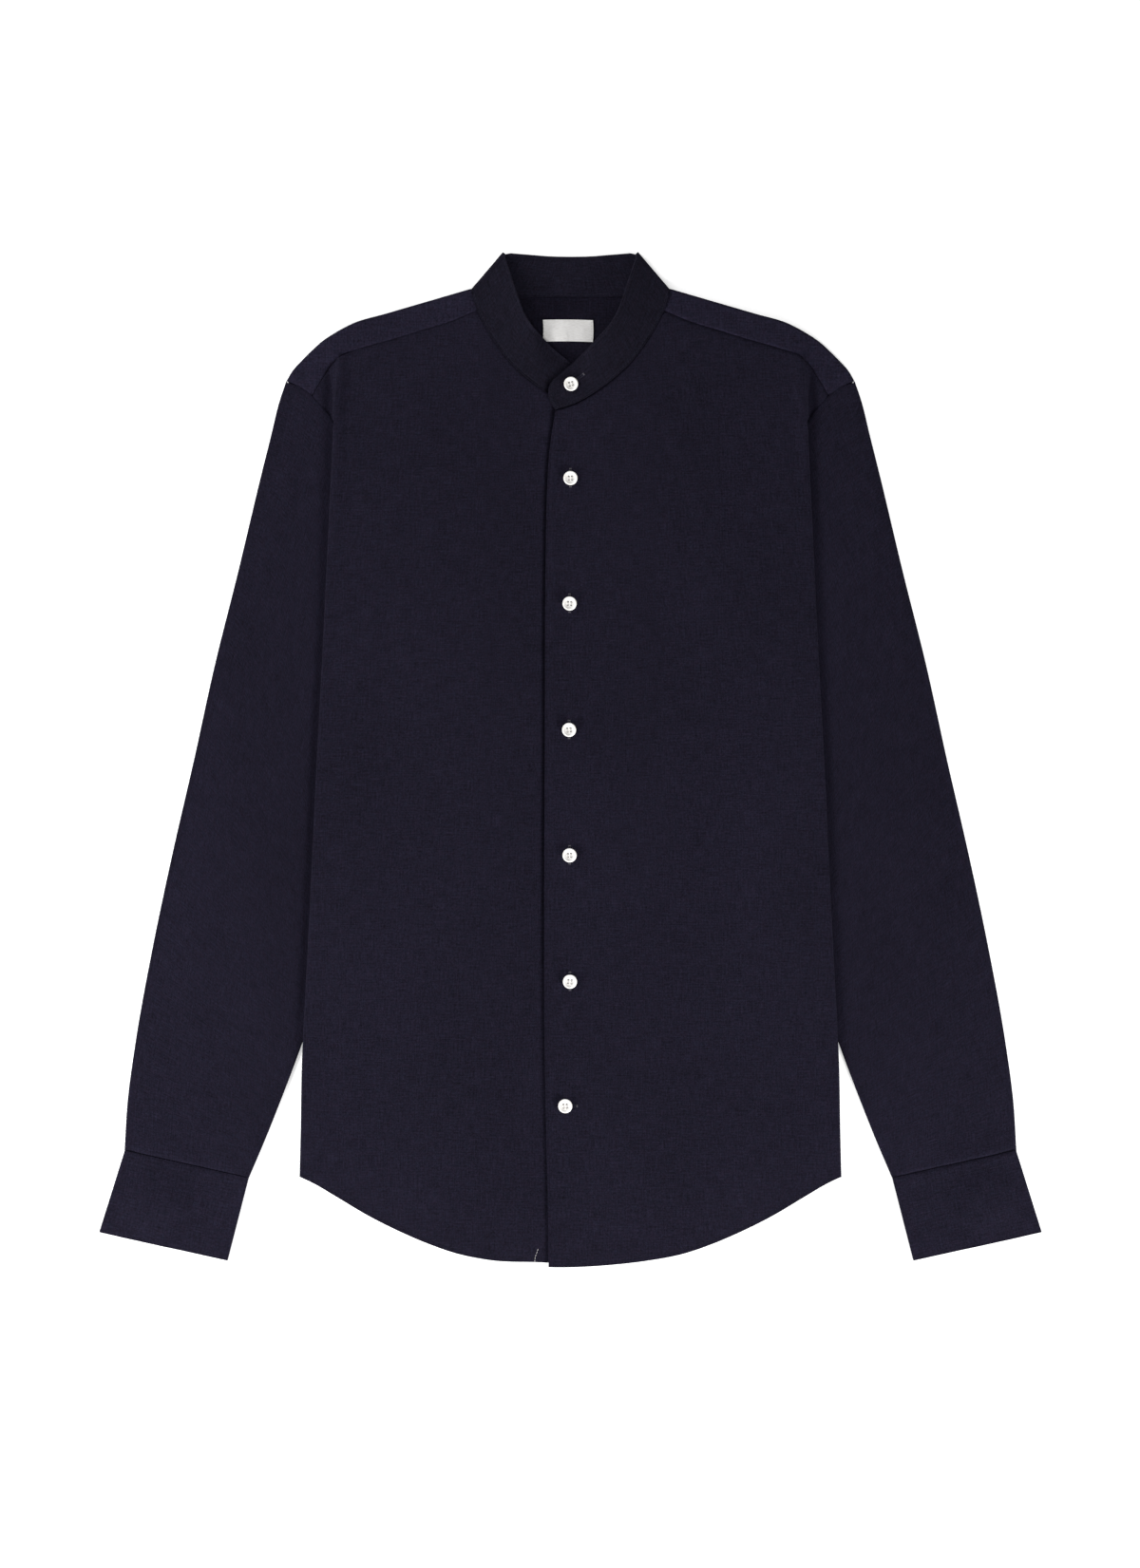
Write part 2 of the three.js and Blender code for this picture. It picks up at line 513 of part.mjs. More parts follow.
// Cuff: a band whose ends overlap on the underside, where it is buttoned.
// Distances are measured across the cuff from its outer fold.
const CUFF_FOLD_RADIUS = 1;
const CUFF_FLOOR = CUFF_WALL / 2;
const CUFF_LAP_STEP = CUFF_WALL + 0.35; // the covered end lies this much higher
const CUFF_LOWER = [24, 30, 36, 42, 48, 58, 74]; // from the buttoned end to the inner fold
const CUFF_UPPER = [78, 66, 56, 48, 42, 36, 30, 24, 16, 8];
const CUFF_COVERED = [10, 16, 22, 29, 36, 42, 48]; // from the outer fold to the covered end
const CUFF_BUTTON = { across: 36, down: 0.5, height: 1.8, dome: 7, slope: 15 };
const CUFF_ROWS = 8;
function cuffEdges(t) {
  const outer = mixPoint(CUFF_CORNERS.outerTop, CUFF_CORNERS.outerHem, t);
  const inner = mixPoint(CUFF_CORNERS.innerTop, CUFF_CORNERS.innerHem, t);
  return { outer, inward: unit(outer, inner), width: distance(outer, inner) };
}
function cuffPoint(across, t) {
  const { outer, inward } = cuffEdges(t);
  return [outer[0] + inward[0] * across, outer[1] + inward[1] * across];
}
function cuffGrid() {
  const button = cuffPoint(CUFF_BUTTON.across, CUFF_BUTTON.down);
  const fromButton = (p) => smooth((distance(p, button) - CUFF_BUTTON.dome) / CUFF_BUTTON.slope);
  const stack = (across) => smooth((across - 7) / 14) * (1 - smooth((across - 50) / 16));
  return steps(SEAM_SHARE, 1, CUFF_ROWS).map((t) => {
    const rim = CUFF_WALL / 2 + CUFF_FOLD_RADIUS;
    const innerRim = cuffEdges(t).width - rim;
    const level = (across, height) => {
      const p = cuffPoint(across, t);
      return [...p, CUFF_FLOOR + height + (CUFF_BUTTON.height + GAP) * (1 - fromButton(p))];
    };
    const turn = (angle, across, way) => {
      const [x, y] = cuffPoint(across + way * CUFF_FOLD_RADIUS * Math.sin(angle), t);
      return [x, y, CUFF_FLOOR + CUFF_FOLD_RADIUS * (1 - Math.cos(angle))];
    };
    return [
      ...CUFF_LOWER.map((across) => level(across, 0)),
      ...[0, ...TURNS].map((angle) => turn(angle, innerRim, 1)),
      ...CUFF_UPPER.map((across) => level(across, 2 * CUFF_FOLD_RADIUS + CUFF_LAP_STEP * stack(across))),
      ...[0, ...TURNS].reverse().map((angle) => turn(angle, rim, -1)),
      ...CUFF_COVERED.map((across) => level(across, CUFF_LAP_STEP * smooth((across - 7) / 14))),
    ];
  });
}

// Collar: a band from the buttoned end, round the back of the neck, to the covered end.
const COLLAR_ACROSS = [0, 0.25, 0.5, 0.75, 1];
const ON_FRONT = 0.86; // share of half the seam that lies on a front, before the yoke
const BACK_NECK_SHARES = [0.12, 0.22, 0.36, 0.52, 0.68, 0.84, 1];
const COLLAR_SIDE = COLLAR_BACK + 2 * COLLAR_SIDE_RADIUS; // height of the front part at the side fold
// Foot of the collar's side fold, clear of the yoke
const COLLAR_CORNER = [SHOULDER(0)[0] - 0.3, SHOULDER(0)[1] + 0.9];
const COLLAR_HALVES = {
  over: { end: COLLAR_OVER, rise: (x, a) => smooth(2 * a - 1), liftFrom: -4 },
  under: { end: COLLAR_UNDER, rise: (x) => smooth((x - 21) / 22), liftFrom: 12 },
};
function collarHalf({ end, rise, liftFrom }) {
  const lift = (x, a, v) => COLLAR_LIFT * v ** 1.5 * Math.sin(Math.PI * a) * smooth((x - liftFrom) / 20);
  const seamAt = (a) =>
    a <= ON_FRONT
      ? beside(NECK_FRONT, a / ON_FRONT, HALF_SEAM)
      : beside(NECK_SIDE, (a - ON_FRONT) / (1 - ON_FRONT), HALF_SEAM);
  const tip = COLLAR_ACROSS.map((v) => [...COLLAR_END(v), end]);
  const stations = [...NECK_SHARES.slice(1), 1].map((t) => t * ON_FRONT);
  const front = [...stations, (ON_FRONT + 1) / 2].map((a) =>
    COLLAR_ACROSS.map((v) => {
      const [x, y] = mixPoint(seamAt(a), COLLAR_EDGE(a), v);
      return [x, y, mix(end, COLLAR_SIDE, rise(x, a)) + lift(x, a, v)];
    }),
  );
  const along = unit(COLLAR_CORNER, COLLAR_EDGE(1));
  const inward = [-along[1], along[0]];
  const rims = COLLAR_ACROSS.map((v) => {
    const rim = mixPoint(COLLAR_CORNER, COLLAR_EDGE(1), v);
    return halfTurn(rim, inward, COLLAR_SIDE, COLLAR_BACK, COLLAR_WALL / 2, [0, ...TURNS]);
  });
  const roll = [0, ...TURNS].map((_, k) => rims.map((points) => points[k]));
  const back = BACK_NECK_SHARES.map((a) =>
    COLLAR_ACROSS.map((v) => {
      const [x, y] = NECK_BACK(a);
      return [...mixPoint([x, y + HALF_SEAM], COLLAR_BACK_EDGE(a), v), COLLAR_BACK];
    }),
  );
  return [tip, ...front, ...roll, ...back];
}
function collarGrid() {
  const under = collarHalf(COLLAR_HALVES.under);
  return [...collarHalf(COLLAR_HALVES.over), ...mirrored(under.slice(0, -1)).reverse()];
}

// Buttons: a dished disc with a rounded rim and four holes.
const wasm = await Module();
wasm.setup();
function toSolid(geometry) {
  const bare = geometry.index ? geometry.clone() : geometry;
  bare.deleteAttribute("normal");
  bare.deleteAttribute("uv");
  const merged = mergeVertices(bare, 1e-4);
  return new wasm.Manifold(
    new wasm.Mesh({
      numProp: 3,
      vertProperties: merged.attributes.position.array,
      triVerts: new Uint32Array(merged.index.array),
    }),
  );
}
function toGeometry(solid) {
  const mesh = solid.getMesh();
  const geometry = new THREE.BufferGeometry();
  geometry.setAttribute("position", new THREE.BufferAttribute(new Float32Array(mesh.vertProperties), 3));
  geometry.setIndex(new THREE.BufferAttribute(new Uint32Array(mesh.triVerts), 1));
  geometry.computeVertexNormals();
  return geometry;
}
const HOLE_RADIUS = 0.75;
const HOLE_SPREAD = 1.25; // each hole's distance from the middle along x and y
// Half section of a button: shares of its radius and of its height
const BUTTON_SECTION = [
  { out: 0, up: 0 }, { out: 0.72, up: 0 }, { out: 1, up: 0.45 }, { out: 1, up: 0.75 },
  { out: 0.88, up: 1 }, { out: 0.74, up: 1 }, { out: 0.6, up: 0.66 }, { out: 0, up: 0.66 },
];
function buttonGeometry(height) {
  const profile = BUTTON_SECTION.map(
    ({ out, up }) => new THREE.Vector2((out * BUTTON_DIAMETER) / 2, up * height),
  );
  let solid = toSolid(new THREE.LatheGeometry(profile, 20).rotateX(Math.PI / 2));
  for (const [i, j] of [[1, 1], [-1, 1], [-1, -1], [1, -1]]) {
    const hole = new THREE.CylinderGeometry(HOLE_RADIUS, HOLE_RADIUS, 4 * height, 8).rotateX(Math.PI / 2);
    solid = solid.subtract(toSolid(hole.translate(i * HOLE_SPREAD, j * HOLE_SPREAD, 0)));
  }
  return toGeometry(solid);
}
function buttonMesh(name, x, y, z, height) {
  const mesh = new THREE.Mesh(buttonGeometry(height), PEARL.clone());
  mesh.name = name;
  mesh.position.set(x, y, z);
  return mesh;
}
// A button's underside clears the cloth below it by the gap, all round its foot.
function buttonSeat(x, y, heightAt, thickness) {
  const foot = (BUTTON_SECTION[1].out * BUTTON_DIAMETER) / 2;
  const around = steps(0, 2 * Math.PI, 8);
  const heights = around.map((a) => heightAt(x + foot * Math.cos(a), y + foot * Math.sin(a)));
  return Math.max(...heights) + thickness / 2 + GAP;
}

const shirt = new THREE.Group();
shirt.add(wall("front_left", frontGrid(OVER), CLOTH, NAVY));
shirt.add(wall("front_right", mirrored(frontGrid(UNDER)), CLOTH, NAVY));
shirt.add(wall("back", backGrid(), CLOTH, NAVY));
shirt.add(wall("yoke", yokeGrid(), CLOTH, NAVY));
shirt.add(wall("collar", collarGrid(), COLLAR_WALL, NAVY));
shirt.add(wall("sleeve_left", sleeveGrid(), CLOTH, NAVY, true));
shirt.add(wall("sleeve_right", mirrored(sleeveGrid()), CLOTH, NAVY, true));
shirt.add(wall("cuff_left", cuffGrid(), CUFF_WALL, NAVY));
shirt.add(wall("cuff_right", mirrored(cuffGrid()), CUFF_WALL, NAVY));

for (const { name, x, y } of BUTTONS) {
  const onCollar = name === "button_collar";
  const heightAt = onCollar ? () => COLLAR_OVER : (px, py) => frontHeight(px, py) + OVER.offset(px);
  const z = buttonSeat(x, y, heightAt, onCollar ? COLLAR_WALL : CLOTH);
  shirt.add(buttonMesh(name, x, y, z, BUTTON_HEIGHT));
}
for (const [side, sign] of [["left", 1], ["right", -1]]) {
  const [x, y] = cuffPoint(CUFF_BUTTON.across, CUFF_BUTTON.down);
  const button = buttonMesh(`button_cuff_${side}`, sign * x, y, CUFF_BUTTON.height, CUFF_BUTTON.height);
  button.rotation.x = Math.PI;
  shirt.add(button);
}

const label = new THREE.Mesh(new THREE.BoxGeometry(...LABEL_SIZE), WHITE_TAPE.clone());
label.name = "label";
label.position.set(...LABEL_CENTRE, CLOTH + GAP + LABEL_SIZE[2] / 2);
shirt.add(label);

export default shirt;
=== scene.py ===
"""A long-sleeved shirt with a mandarin (band) collar, buttoned and laid flat on its back.

Lengths are in millimetres until a mesh is made. +Z is up from the surface, +Y points to the collar,
+X to the wearer's left. A cloth piece is a grid of points in the middle of its ply, thickened along
its normals. The curves and heights follow the solids' on a finer grid, with small differences at
seams, pressed edges and creases, and a collar whose upper edge stands up more.
"""
import math

import bpy
import numpy as np
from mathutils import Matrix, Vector


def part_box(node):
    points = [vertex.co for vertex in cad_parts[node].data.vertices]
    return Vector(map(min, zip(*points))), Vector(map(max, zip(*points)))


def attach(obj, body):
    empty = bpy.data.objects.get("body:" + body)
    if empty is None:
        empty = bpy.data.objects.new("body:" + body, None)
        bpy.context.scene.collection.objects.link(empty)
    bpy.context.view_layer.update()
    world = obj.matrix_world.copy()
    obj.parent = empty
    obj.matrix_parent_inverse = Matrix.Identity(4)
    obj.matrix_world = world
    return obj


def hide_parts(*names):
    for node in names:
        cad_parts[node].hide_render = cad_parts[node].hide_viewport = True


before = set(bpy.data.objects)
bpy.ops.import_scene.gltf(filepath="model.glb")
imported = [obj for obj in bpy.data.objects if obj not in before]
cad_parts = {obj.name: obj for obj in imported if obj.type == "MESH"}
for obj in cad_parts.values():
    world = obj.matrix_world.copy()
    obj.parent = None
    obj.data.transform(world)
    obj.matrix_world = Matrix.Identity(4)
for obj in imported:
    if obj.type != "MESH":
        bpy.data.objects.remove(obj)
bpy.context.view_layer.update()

MM = 0.001

# Sizes of the solids
CLOTH = 1.0
HALF_SEAM = 0.03  # the cloth meets at its seams, where each piece dips
BACK_YOKE_SEAM_Y = 268
COLLAR_WALL = 1.6
CUFF_WALL = 1.4

# Thickness of the cloth that shows
PLY = 0.8
COLLAR_PLY = 1.5
CUFF_PLY = 1.3

# Heights of the middle of each ply above the surface
FLOOR_PLY = 0.5
SLEEVE_PLY = 2.1
RETURN_PLY = 3.55
FRONT_PLY = 5.1
CAP_PLY = 2.75
SHOULDER_PLY = 3.55
SLEEVE_PUFF = 1.1
HEM_DROP = 2.2
BODY_LOFT = 1.4
PLACKET_DIP = 1.05
PLACKET_RISE = 0.45
COLLAR_BACK = 0.95
COLLAR_SIDE = 4.6
COLLAR_OVER = 5.05
COLLAR_UNDER = 2.9
COLLAR_LIFT = 9.5

# Widths over which one height runs into another
RETURN_SLOPE = 22
CLEAR = 4
FRONT_SLOPE = 40
HEM_SLOPE = 45
EDGE_SLOPE = 30
UNDERARM_SLOPE = 14
ARMHOLE_LEAN = 4
CAP_START = 120
CAP_LENGTH = 120
LAP_EDGE = 20
LAP_SLOPE = 25
SIDE_FOLD_OPENS = {"low": 262, "high": 322, "narrow": 1.6, "wide": 22, "late": 3}
FOLD_TROUGH = {"inside": 10.5, "width": 4, "depth": 1.4, "low": 195, "high": 345, "fade": 50}


def mix(a, b, t):
    return a + (b - a) * t


def smooth(t):
    s = np.clip(t, 0, 1)
    return s * s * (3 - 2 * s)


def mix_points(a, b, t):
    """Points between a and b, at the shares t."""
    return a + (b - a) * np.asarray(t)[..., None]


def unit(v):
    return v / np.linalg.norm(v, axis=-1, keepdims=True)


def with_height(plan, z):
    """Points in space from points in plan and their heights."""
    return np.concatenate([plan, np.broadcast_to(z, plan.shape[:-1])[..., None]], -1)


def runs(*stretches):
    """Evenly spaced numbers in stretches of (first, last, count). Each starts where the last one ends."""
    made = [np.linspace(*stretch) for stretch in stretches]
    return np.concatenate([made[0], *(numbers[1:] for numbers in made[1:])])


def path(points):
    """A smooth curve through points, as a function of the share of its length."""
    p = np.array(points, float)
    spans = np.linalg.norm(np.diff(p, axis=0), axis=1)
    knots = np.concatenate([[0], np.cumsum(spans)])
    slopes = np.diff(p, axis=0) / spans[:, None]
    before, after = spans[:-1, None], spans[1:, None]
    inner = (slopes[:-1] * after + slopes[1:] * before) / (before + after)
    tangents = np.vstack([slopes[:1], inner, slopes[-1:]])

    def at(share):
        along = np.asarray(share, float) * knots[-1]
        i = np.clip(np.searchsorted(knots, along, side="right") - 1, 0, len(spans) - 1)
        h = spans[i][..., None]
        t = ((along - knots[i]) / spans[i])[..., None]
        return (
            (2 * t**3 - 3 * t**2 + 1) * p[i]
            + (t**3 - 2 * t**2 + t) * h * tangents[i]
            + (3 * t**2 - 2 * t**3) * p[i + 1]
            + (t**3 - t**2) * h * tangents[i + 1]
        )

    at.length = knots[-1]
    return at


def look_up(curve, axis):
    """The other coordinate of a curve at given x (axis 0) or y (axis 1)."""
    samples = curve(np.linspace(0, 1, 401))
    if samples[-1, axis] < samples[0, axis]:
        samples = samples[::-1]
    key, other = samples[:, axis], samples[:, 1 - axis]

    def at(value):
        i = np.clip(np.searchsorted(key, value, side="right"), 1, len(key) - 1)
        return mix(other[i - 1], other[i], (value - key[i - 1]) / (key[i] - key[i - 1]))

    return at


def share_at_y(curve, y):
    """The share of a falling curve at which it reaches y."""
    shares = np.linspace(0, 1, 2001)
    return np.interp(-np.asarray(y, float), -curve(shares)[:, 1], shares)


def beside(curve, share, offset):
    """Points of a curve moved sideways, to the left of its direction of travel."""
    share = np.asarray(share, float)
    a = curve(np.maximum(0, share - 1e-3))
    b = curve(np.minimum(1, share + 1e-3))
    d = unit(b - a)
    return curve(share) + np.stack([-d[..., 1], d[..., 0]], -1) * offset


def to_line(line, x, y):
    """Distance in plan from points to a line of samples."""
    best = np.full(np.shape(x), np.inf)
    for (ax, ay), (bx, by) in zip(line[:-1], line[1:]):
        dx, dy = bx - ax, by - ay
        t = np.clip(((x - ax) * dx + (y - ay) * dy) / (dx * dx + dy * dy), 0, 1)
        best = np.minimum(best, np.hypot(x - ax - t * dx, y - ay - t * dy))
    return best


def spaced(length, pitch, near_start=(), near_end=()):
    """Shares of a length about a pitch apart, with closer ones at given distances from its ends."""
    first = near_start[-1] if near_start else 0
    last = near_end[-1] if near_end else 0
    count = max(2, round((length - first - last) / pitch))
    middle = np.linspace(first, length - last, count + 1)
    start = [0, *near_start[:-1]] if near_start else []
    end = [length - d for d in reversed([0, *near_end[:-1]])] if near_end else []
    return np.array([*start, *middle, *end]) / length


# Outlines of one half in plan
SHOULDER = path([
    (77.5, 367.2), (143.9, 347.8), (169.1, 340.4), (183.2, 333), (194.3, 325.6),
    (202.4, 318.2), (209.8, 310.8), (216.5, 303.4), (221.3, 295.3),
])
SLEEVE_OUTER = path([
    (221.3, 295.3), (226.1, 281.2), (233.5, 251.6), (240.9, 222), (258.6, 148), (277.1, 74),
    (293.4, 0), (310.4, -74), (326, -148), (339.3, -222), (345.2, -266.4), (347.6, -304.2),
])
SLEEVE_INNER = path([
    (126.4, 43.6), (167, -88), (210.5, -225), (226.1, -266.4), (237.9, -296), (250.6, -325.8),
])
ARMHOLE_FRONT = path([
    (221.3, 295.3), (212.4, 291.6), (206.5, 287.9), (201.1, 283.4), (194.3, 276),
    (186.5, 266.5), (172, 228), (155, 165), (138, 98), (125.4, 44.4),
])
ARMHOLE_BACK = path([
    (221.3, 295.3), (209, BACK_YOKE_SEAM_Y), (190, 215), (168, 150), (145, 90), (125.4, 44.4),
])
YOKE_SEAM = path([
    (72.9, 350), (92.5, 341.6), (116.2, 334.3), (140.6, 326.8), (162.8, 320.6), (172.4, 317.2), (177.6, 315),
    (181.3, 312.8),
])
YOKE_SEAM_END = path([
    (181.3, 312.8), (184.6, 310.1), (187.9, 306.2), (191.4, 300.3), (196.1, 292.6), (201.1, 283.4),
])
NECK_FRONT = path([
    (-11.8, 272.8), (1.9, 277.2), (13.3, 282.9), (24.6, 290.4), (36, 299.2), (47.4, 310), (57.5, 323.2),
    (65.8, 336), (72.9, 350),
])
NECK_SIDE = path([(72.9, 350), (75.4, 358), (77.5, 367.2)])
NECK_BACK = path([(77.5, 367.2), (60, 363), (39, 361.3), (0, 361)])
COLLAR_EDGE = path([
    (-12.5, 296.8), (-2.7, 305.4), (1.5, 308.8), (13.8, 320.5), (22, 329), (31, 339.3),
    (37, 349.5), (40.9, 360), (45.9, 375.5), (52.8, 395.5),
])
COLLAR_BACK_EDGE = path([(52.8, 395.5), (43, 394.6), (29.2, 393.5), (15, 392.4), (0, 392.1)])
COLLAR_END = path([(-11.8, 273.2), (-15.8, 279.2), (-17.2, 287.1), (-16.3, 291.7), (-12.5, 296.8)])
SIDE_FOLD = path([
    (180.6, 340), (181.3, 314.5), (182.8, 297.5), (184.6, 273), (185.7, 240.5), (187.3, 207),
    (190.4, 140.6), (193.6, 74), (197.2, 7.4), (200.4, -59.2), (203.6, -125.8), (206.6, -185),
    (209, -230), (210.4, -296), (211.3, -330),
])
FRONT_EDGE = path([
    (-10, 290), (-12.6, 269.4), (-16.6, 239.8), (-18.4, 210.2), (-19.4, 160), (-20.1, 0), (-20.5, -86),
    (-20, -234), (-18.9, -293), (-17.6, -352), (-17.2, -396),
])
SIDE_SEAM = path([(125.4, 44.4), (152.8, -111), (160.2, -215), (161, -312)])
FRONT_HEM = path([
    (-25, -395.4), (0, -395.5), (27.4, -394), (56.2, -390.9), (88.1, -384.8), (109.2, -377.6), (127.3, -370),
    (157.3, -355.2), (182.4, -340.4), (200, -330.2), (211.3, -324.8),
])
BACK_HEM = path([(0, -387), (50, -381), (85, -367), (115, -347), (140, -328), (161, -312)])
UNDER_HEM_LIFT = 2.6
CUFF_CORNERS = {
    "outer": np.array([(347.5, -304.6), (367.4, -368.2)]),
    "inner": np.array([(250.7, -326.2), (267.1, -390.4)]),
}
FOLD_TOP_Y = 312.8
FOLD_HEM_Y = -324.8
UNDERARM = (125.4, 44.4)
YOKE_CORNER_Y = 283.4  # the yoke's front seam meets the armhole
FOLD_CROSSING_Y = 266.5  # the armhole's seam goes under the side fold

fold_x = look_up(SIDE_FOLD, 1)
front_edge_x = look_up(FRONT_EDGE, 1)
inner_x = look_up(SLEEVE_INNER, 1)
front_hem_y = look_up(FRONT_HEM, 0)
back_hem_y = look_up(BACK_HEM, 0)
SHARES = np.linspace(0, 1, 61)
OUTER_LINE = np.vstack([SHOULDER(SHARES), SLEEVE_OUTER(SHARES)[1:]])
INNER_LINE = SLEEVE_INNER(SHARES)
FRONT_SEAM_LINE = np.vstack([NECK_FRONT(SHARES), YOKE_SEAM(SHARES)[1:], YOKE_SEAM_END(SHARES)[1:]])
ARMHOLE_LINE = ARMHOLE_FRONT(SHARES)

# Creases, each a soft trough (negative) or ridge: middle x and y, angle in degrees, length,
# half width, height in CREASE_DEPTHs, and how far its middle bows to its left.
CREASE_DEPTH = 2.3
FRONT_CREASES = {
    "left": [
        (172, 262, 96, 150, 9, -0.3, 4), (160, 238, 78, 120, 14, 0.22, -6),
        (120, 205, 70, 170, 17, -0.2, 9), (88, 250, 118, 110, 12, 0.18, 5),
        (60, 225, 64, 90, 9, -0.16, -4), (38, 180, 100, 130, 13, 0.15, 3),
        (100, 120, 92, 210, 20, -0.24, 12), (142, 90, 84, 190, 13, 0.24, -7),
        (165, 20, 88, 160, 10, -0.22, 5), (70, 40, 98, 180, 16, 0.2, -8),
        (110, -30, 80, 150, 14, -0.24, 6), (150, -90, 95, 170, 16, 0.22, 9),
        (186, -130, 90, 140, 8, -0.24, -3), (60, -120, 86, 190, 15, -0.2, 7),
        (95, -190, 101, 150, 13, 0.22, -6), (172, -240, 82, 130, 11, -0.22, 4),
        (130, -270, 94, 120, 12, 0.2, 5), (48, -250, 92, 160, 14, 0.18, -4),
        (80, -330, 76, 90, 9, -0.18, 3), (125, -340, 60, 70, 8, 0.16, -3),
        (25, -330, 97, 100, 9, -0.16, 3), (150, 165, 24, 60, 8, 0.14, 3),
        (110, -235, 12, 90, 10, -0.12, 5), (80, 95, -14, 80, 11, 0.12, -4),
    ],
    "right": [
        (168, 268, 80, 90, 10, -0.42, 5), (150, 225, 100, 170, 15, 0.24, 8),
        (122, 180, 84, 150, 12, -0.22, -6), (95, 240, 60, 120, 13, 0.18, -5),
        (66, 200, 97, 140, 15, -0.18, 6), (100, 90, 90, 230, 22, 0.24, -10),
        (150, 60, 96, 150, 11, -0.24, 4), (60, 70, 82, 170, 13, -0.18, 7),
        (170, -40, 86, 180, 12, 0.22, -5), (120, -60, 99, 160, 16, -0.22, 8),
        (72, -60, 91, 150, 14, 0.2, 5), (185, -160, 92, 150, 9, -0.2, -4),
        (145, -170, 78, 140, 14, 0.24, 6), (95, -170, 88, 190, 17, -0.22, -8),
        (52, -200, 95, 140, 12, 0.18, 4), (168, -280, 97, 100, 10, 0.18, -3),
        (115, -300, 70, 120, 12, -0.2, 5), (66, -320, 104, 100, 10, 0.16, -4),
        (34, -280, 86, 150, 11, -0.16, 3), (120, 130, -20, 70, 9, 0.14, 4),
        (85, -20, 16, 90, 10, -0.12, -4),
    ],
}
SLEEVE_CREASES = {
    "left": [
        (216, 195, 107, 120, 9, -0.3, 5), (236, 150, 99, 170, 11, 0.26, -6),
        (214, 90, 104, 190, 14, -0.26, 8), (258, 60, 103, 150, 10, -0.22, 5),
        (240, -10, 98, 200, 15, 0.28, -9), (275, -50, 104, 160, 12, -0.26, 7),
        (245, -120, 108, 170, 12, -0.26, -6), (290, -130, 101, 150, 11, 0.24, 5),
        (265, -200, 106, 140, 13, 0.26, 8), (310, -215, 99, 120, 9, -0.24, -4),
        (285, -260, 100, 90, 8, -0.3, 3), (256, -275, 110, 80, 8, 0.26, -3),
        (318, -275, 96, 70, 7, 0.22, 3), (250, 5, 12, 60, 9, -0.18, 4),
        (280, -95, 30, 70, 10, -0.2, -5),
    ],
    "right": [
        (213, 215, 103, 90, 7, -0.45, 3), (228, 170, 104, 130, 10, 0.3, -5),
        (222, 105, 96, 150, 12, -0.24, 7), (250, 80, 106, 180, 12, 0.26, -7),
        (232, 10, 103, 170, 13, -0.28, 6), (268, -10, 98, 150, 11, -0.2, -5),
        (255, -80, 107, 190, 15, 0.3, 9), (290, -100, 102, 130, 9, -0.24, 4),
        (262, -170, 101, 150, 12, -0.28, -7), (300, -180, 104, 140, 11, 0.24, 5),
        (275, -240, 108, 100, 9, -0.26, 4), (312, -250, 97, 90, 8, -0.24, -3),
        (290, -285, 103, 60, 7, 0.26, 2), (244, -30, -8, 60, 8, -0.18, 4),
        (270, -140, 24, 70, 9, -0.18, 4),
    ],
}
BACK_CREASES = [
    (-120, 180, 84, 200, 16, 0.24, 8), (-60, 120, 95, 230, 18, 0.2, -9), (20, 160, 90, 190, 15, 0.24, 7),
    (90, 150, 98, 210, 17, 0.2, -8), (140, 60, 86, 160, 13, 0.26, 6), (-100, -20, 92, 180, 14, 0.26, 7),
    (-20, -40, 84, 220, 17, 0.22, 10), (60, -60, 97, 170, 13, 0.26, -6), (110, -140, 88, 190, 15, 0.22, 8),
    (-70, -180, 94, 180, 15, 0.24, -7), (0, -240, 87, 160, 13, 0.26, 6), (60, -280, 99, 130, 11, 0.22, -5),
    (-120, -230, 80, 110, 10, 0.24, 4), (-30, 60, 14, 110, 12, 0.16, 5), (70, 30, -16, 90, 11, 0.18, -4),
]
CREASES_WITHIN = 150  # the back's and the yoke's creases lie this near the middle
BACK_CREASE_FADE = 30
YOKE_CREASES_FROM, YOKE_CREASES_TO = 272, 340
YOKE_CREASES = [
    (-120, 310, 12, 120, 9, 0.14, 4), (70, 300, -8, 140, 10, 0.16, -4), (0, 285, 4, 100, 8, 0.12, 3),
]


def relief(creases, x, y):
    """Height that creases add. One side of each is steeper than the other."""
    total = np.zeros(np.shape(x))
    for cx, cy, degrees, length, width, height, bow in creases:
        c, s = math.cos(math.radians(degrees)), math.sin(math.radians(degrees))
        along = ((x - cx) * c + (y - cy) * s) / (length / 2)
        across = (y - cy) * c - (x - cx) * s - bow * (1 - along**2)
        sided = across / np.where(across > 0, width, 0.6 * width)
        total = total + CREASE_DEPTH * height * np.exp(-(sided**2)) * smooth(1.3 * (1 - np.abs(along)))
    return total


def over_sleeve(x, y, width):
    """How far cloth above the surface has climbed onto the sleeve, from 0 to 1 over a width."""
    inside = x - inner_x(np.minimum(y, UNDERARM[1]))
    lean = np.maximum(0, y - UNDERARM[1]) / ARMHOLE_LEAN
    return smooth(1 + (inside + lean + CLEAR) / width)


def return_height(x, y):
    """Middle of the turned-under side of a front."""
    on_sleeve = np.where(y > UNDERARM[1], 1, over_sleeve(x, y, RETURN_SLOPE))
    return mix(FLOOR_PLY, RETURN_PLY, on_sleeve)


def back_height(x, y):
    """Middle of the back panel, which lies on the surface and, at its sides, on the sleeves."""
    below = smooth((UNDERARM[1] - y) / UNDERARM_SLOPE)
    flat = mix(FLOOR_PLY, RETURN_PLY, over_sleeve(np.abs(x), y, RETURN_SLOPE) * below)
    fade = BACK_CREASE_FADE
    inside = smooth((BACK_YOKE_SEAM_Y - y) / fade) * smooth((CREASES_WITHIN - np.abs(x)) / fade)
    return flat + relief(BACK_CREASES, x, y) * inside


